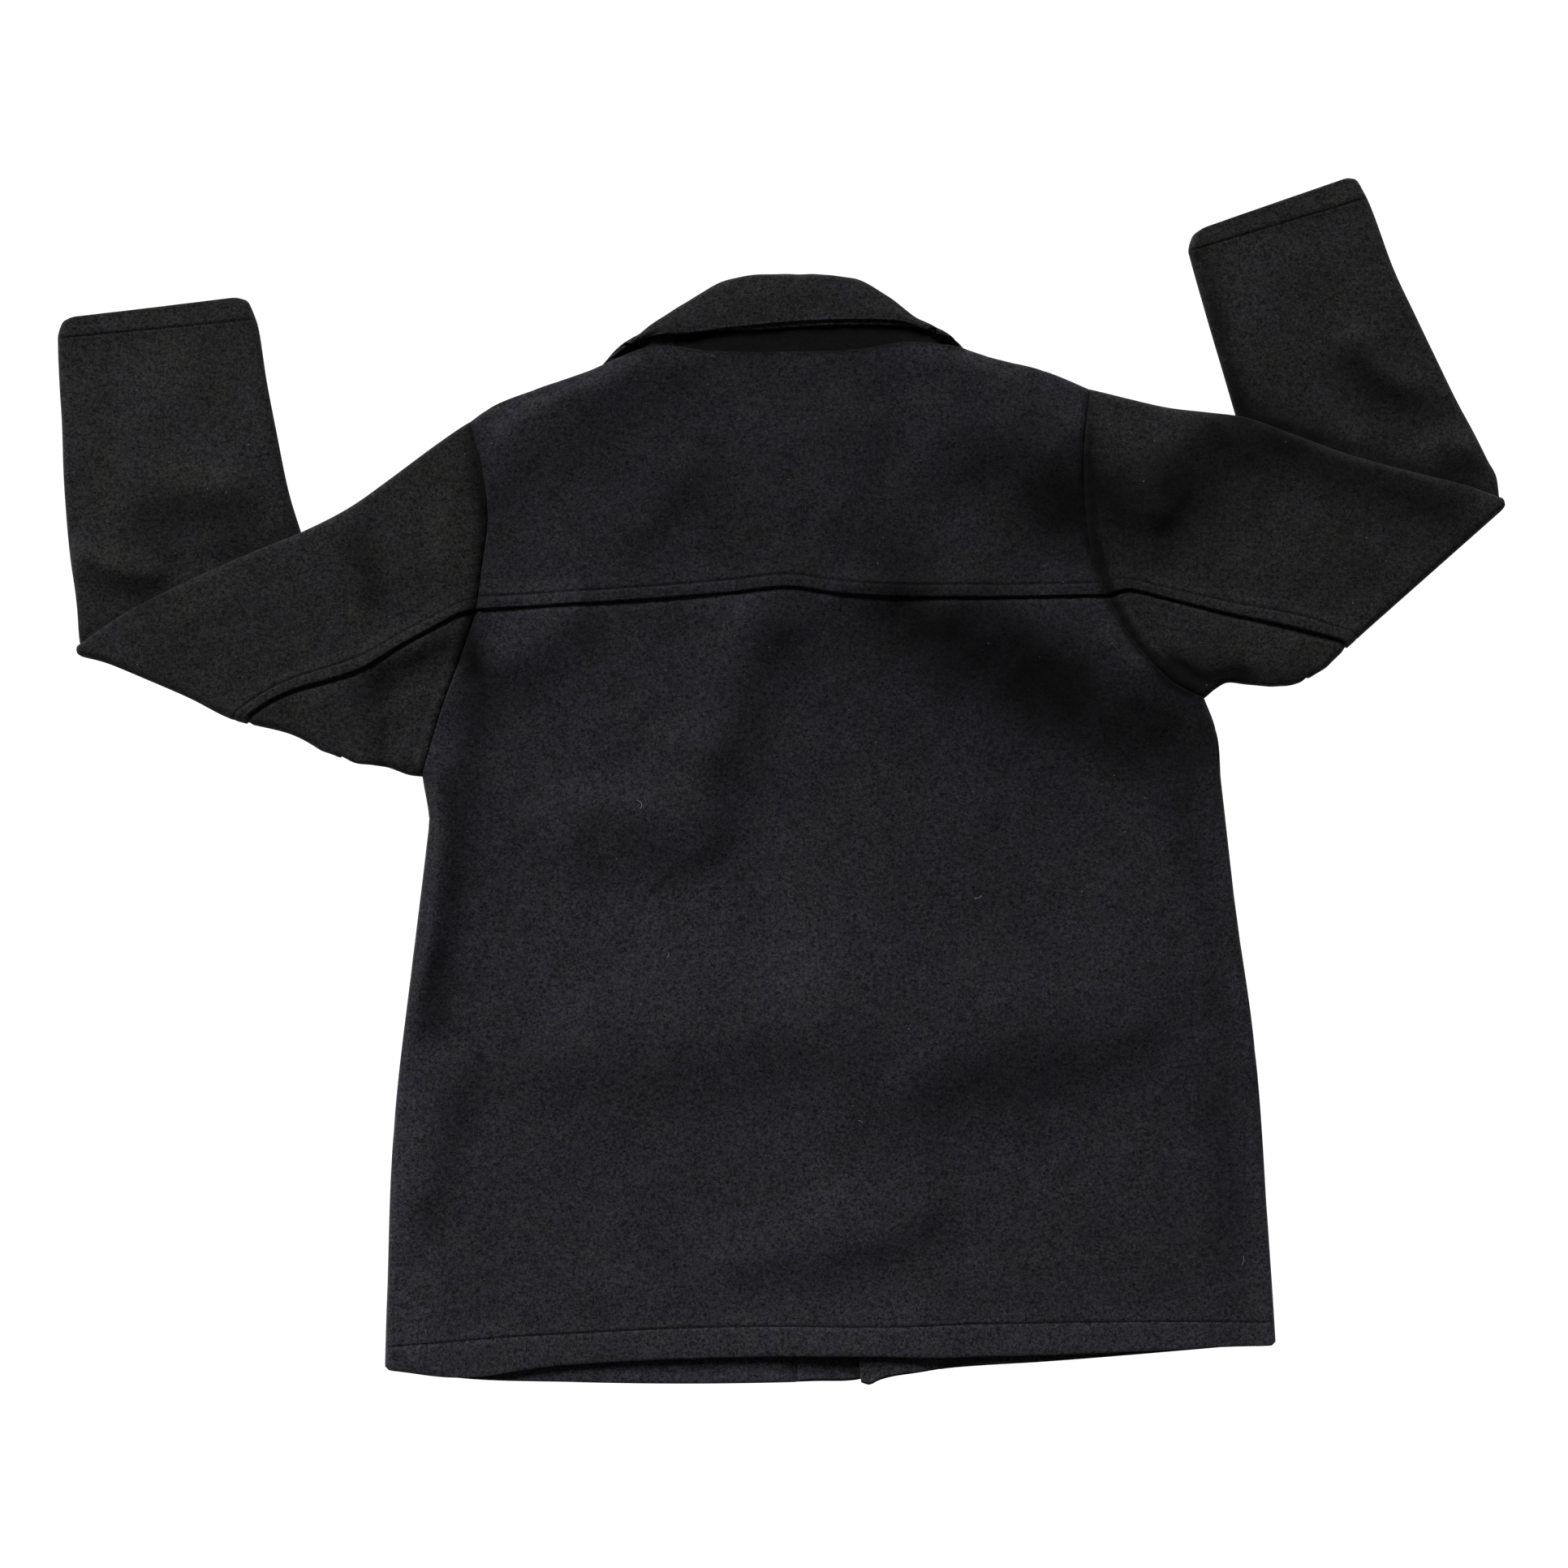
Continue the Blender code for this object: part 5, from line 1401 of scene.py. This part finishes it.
def build_nap_group():
    """Milled wool: matted tufts, curled fibres, a few pale specks and patches where the nap lies another
    way, toned by painted shade and light.
    """
    group, given, result = new_group(
        "milled_nap",
        (
            ("Dark", "NodeSocketColor", (0.003, 0.003, 0.004, 1)),
            ("Light", "NodeSocketColor", (0.036, 0.035, 0.040, 1)),
            ("Warm", "NodeSocketColor", (1.0, 1.0, 0.90, 1)),
            ("Cool", "NodeSocketColor", (1.0, 0.96, 1.08, 1)),
            ("Brushed", "NodeSocketFloat", 0.0),
        ),
        (("Colour", "NodeSocketColor"), ("Height", "NodeSocketFloat")),
    )
    where = group.nodes.new("ShaderNodeTexCoord").outputs["Object"]
    tufts = noise(group, where, 430, 3, 0.62, 0.9)
    fibres = reckon(group, "SUBTRACT", noise(group, where, 560, 1.5, 0.5, 2.4), 0.5)
    curled = remap(group, reckon(group, "ABSOLUTE", fibres), 0.06, 0.0)
    fine = noise(group, where, 1500, 2, 0.6, 0.5)
    patches = noise(group, where, 24, 3, 0.55, 0.6)
    hue = noise(group, where, 34, 2, 0.6, 0.8)
    dust = add_node(group, "ShaderNodeTexVoronoi")
    feed(group, dust, Vector=where, Scale=60)
    specks = remap(group, dust.outputs["Distance"], 0.032, 0.018)
    grain = reckon(group, "MULTIPLY", curled, 0.30)
    grain = reckon(group, "MULTIPLY_ADD", remap(group, tufts, 0.36, 0.66), 0.62, grain)
    grain = reckon(group, "ADD", remap(group, fine, 0.35, 0.65, -0.12, 0.12), grain)
    fibre = mixed(group, grain, given.outputs["Dark"], given.outputs["Light"])
    tint = mixed(group, remap(group, hue, 0.36, 0.64), given.outputs["Cool"], given.outputs["Warm"])
    # the nap's random patches, together with the painted shade and light
    tone = reckon(group, "ADD", given.outputs["Brushed"], remap(group, patches, 0.3, 0.7, 0.86, 1.14))
    tint_with_painted_shade = add_node(group, "ShaderNodeVectorMath", operation="SCALE")
    group.links.new(tint, tint_with_painted_shade.inputs[0])
    feed(group, tint_with_painted_shade, Scale=reckon(group, "MAXIMUM", tone, DARKEST))
    tinted_and_painted_shade = mixed(group, 1.0, fibre, tint_with_painted_shade.outputs["Vector"], "MULTIPLY")
    feed(group, result, Colour=mixed(group, specks, tinted_and_painted_shade, SPECK), Height=grain)
    return group


def new_finish(name):
    """(material, its node tree, its shader)."""
    finish = bpy.data.materials.new(name)
    finish.use_nodes = True
    return finish, finish.node_tree, finish.node_tree.nodes["Principled BSDF"]


def melton(name, group, dark, light, warm, cool):
    """Milled wool of these fibre colours and tints."""
    finish, tree, shader = new_finish(name)
    nap = add_node(tree, "ShaderNodeGroup", node_tree=group)
    # the painted shade and light that each piece carries
    painted_light_attribute = add_node(tree, "ShaderNodeAttribute", attribute_type="GEOMETRY", attribute_name="painted_shade_and_light")
    feed(tree, nap, Dark=(*dark, 1), Light=(*light, 1), Warm=(*warm, 1), Cool=(*cool, 1))
    feed(tree, nap, Brushed=painted_light_attribute.outputs["Fac"])
    feed(tree, shader, Base_Color=nap.outputs["Colour"], Roughness=0.95, Specular_IOR_Level=0.10)
    feed(tree, shader, Sheen_Weight=0.03, Sheen_Roughness=0.5, Sheen_Tint=(0.75, 0.75, 0.8, 1))
    add_bump(tree, shader, nap.outputs["Height"], 0.55, 0.0008)
    return finish


def plain_finish(name, colour, roughness, scale, depth):
    """A finish whose colour and surface vary slightly, for thread, lint, buttons and the floor."""
    finish, tree, shader = new_finish(name)
    where = tree.nodes.new("ShaderNodeTexCoord").outputs["Object"]
    grain = noise(tree, where, scale, 3, 0.6)
    darker = (*(c * 0.8 for c in colour), 1)
    paler = (*(min(1, c * 1.2) for c in colour), 1)
    feed(tree, shader, Base_Color=mixed(tree, grain, darker, paler), Roughness=roughness)
    add_bump(tree, shader, grain, 0.3, depth)
    return finish


# --- the scene --------------------------------------------------------------------------------------

# In metres.
WINDOW = (-1.4, 2.9, 1.71)  # where the light comes from
CAMERA = (0, -0.00248, 1.675)
FLOOR_REACH = 4
FLOOR_LEVEL = -0.0004

BUTTONS = 5
# Each cloth's dark and light fibres, and its warm and cool tints.
MELTONS = {
    "back": ((0.0018, 0.0017, 0.0023), (0.0420, 0.0412, 0.0485), (1.0, 1.0, 0.93), (1.0, 0.96, 1.07)),
    # the yoke's light fibres are a little darker than the back's: painted shade, for cloth that slopes away
    # from the light
    "yoke": ((0.0018, 0.0017, 0.0022), (0.0385, 0.0378, 0.0436), (1.0, 1.0, 0.93), (1.0, 0.96, 1.06)),
    "sleeves": ((0.0019, 0.0018, 0.0020), (0.0405, 0.0399, 0.0412), (1.0, 1.0, 0.91), (1.0, 0.97, 1.05)),
    "collar": ((0.0019, 0.0018, 0.0020), (0.0400, 0.0393, 0.0418), (1.0, 1.0, 0.90), (1.0, 0.96, 1.05)),
}


def add_sky_window(name, towards, breadth, strength):
    """A broad, distant, soft light from the direction of a window."""
    data = bpy.data.lights.new(name, "SUN")
    data.angle = math.radians(breadth)
    data.energy = strength
    made = bpy.data.objects.new(name, data)
    made.location = towards
    made.rotation_euler = mathutils.Vector(towards).to_track_quat("Z", "Y").to_euler()
    bpy.context.scene.collection.objects.link(made)


def lit_white():
    """A pale table top that the camera sees evenly white, as for a cut-out picture."""
    white = (1, 1, 1, 1)
    finish = plain_finish("table_white", (0.7, 0.7, 0.7), 0.9, 40, 0.0002)
    tree = finish.node_tree
    shader = tree.nodes["Principled BSDF"]
    feed(tree, shader, Emission_Color=white, Emission_Strength=0.9)
    glow = add_node(tree, "ShaderNodeEmission")
    feed(tree, glow, Color=white, Strength=1.1)
    seen = add_node(tree, "ShaderNodeLightPath")
    mix = add_node(tree, "ShaderNodeMixShader")
    feed(tree, mix, Fac=seen.outputs["Is Camera Ray"])
    tree.links.new(shader.outputs["BSDF"], mix.inputs[1])
    tree.links.new(glow.outputs["Emission"], mix.inputs[2])
    feed(tree, tree.nodes["Material Output"], Surface=mix.outputs["Shader"])
    return finish


def add_studio():
    """Soft light, a pale floor, and the camera straight above the jacket."""
    scene = bpy.context.scene
    scene.view_settings.view_transform = "Standard"
    scene.view_settings.look = "None"
    world = bpy.data.worlds.new("studio")
    world.use_nodes = True
    feed(world.node_tree, world.node_tree.nodes["Background"], Color=(1, 1, 1, 1), Strength=0.12)
    scene.world = world
    add_sky_window("window", WINDOW, breadth=26, strength=5.6)
    mesh = bpy.data.meshes.new("floor")
    corners = ((-1, -1), (1, -1), (1, 1), (-1, 1))
    mesh.from_pydata([(FLOOR_REACH * x, FLOOR_REACH * y, 0) for x, y in corners], [], [(0, 1, 2, 3)])
    mesh.materials.append(lit_white())
    floor = bpy.data.objects.new("floor", mesh)
    floor.location.z = FLOOR_LEVEL
    scene.collection.objects.link(floor)
    data = bpy.data.cameras.new("camera")
    data.lens = 50
    data.sensor_width = 36
    camera = bpy.data.objects.new("camera", data)
    camera.location = CAMERA
    scene.collection.objects.link(camera)
    scene.camera = camera


def make_pieces():
    """(cloth pieces by the node that each stands for, paths of the topstitching, the back's outer grid)."""
    nap = build_nap_group()
    cloth = {name: melton(f"melton_{name}", nap, *colours) for name, colours in MELTONS.items()}
    pieces = {}
    pieces["back"], back_grid = make_back(cloth["back"])
    pieces["back_yoke"], yoke_grid = make_yoke(cloth["yoke"])
    for side in ("left", "right"):
        pieces[f"front_{side}"], pieces[f"facing_{side}"] = make_front(side, cloth["back"])
    paths = {
        "hem_stitching": [back_grid[AT_HEM_LINE, 2:-2]],
        "yoke_stitching": [yoke_grid[-AT_LAP_LINE - 1, 1:-1]],
    }
    for side in ("left", "right"):
        for piece in ("top", "under"):
            pieces[f"sleeve_{side}_{piece}"], lines = make_sleeve(side, piece, cloth["sleeves"])
            if lines:
                paths[f"sleeve_{side}_stitching"] = lines
    pieces["collar_top"], pieces["collar_under"] = make_collar(cloth["collar"])
    return pieces, paths, back_grid


def main():
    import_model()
    add_studio()
    pieces, paths, back_grid = make_pieces()
    for node, piece in pieces.items():
        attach(piece, "root")
        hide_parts(node)

    thread = plain_finish("black_thread", (0.006, 0.006, 0.007), 0.6, 3000, 0.0001)
    thread.node_tree.nodes["Principled BSDF"].inputs["Specular IOR Level"].default_value = 0.05
    for name, lines in paths.items():
        stitching = add_rows(name, [stitch_row(path) for path in lines], thread)
        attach(stitching, "root")
    fibre = plain_finish("pale_fibre", (0.26, 0.25, 0.24), 0.7, 900, 0.0001)
    lint = add_rows("lint", [hair_row(back_grid, *hair) for hair in LINT], fibre)
    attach(lint, "root")
    horn = plain_finish("dark_horn", (0.018, 0.015, 0.013), 0.32, 220, 0.0001)
    for number in range(1, BUTTONS + 1):
        for place in bpy.data.objects[f"button_{number}"].material_slots:
            place.material = horn


main()
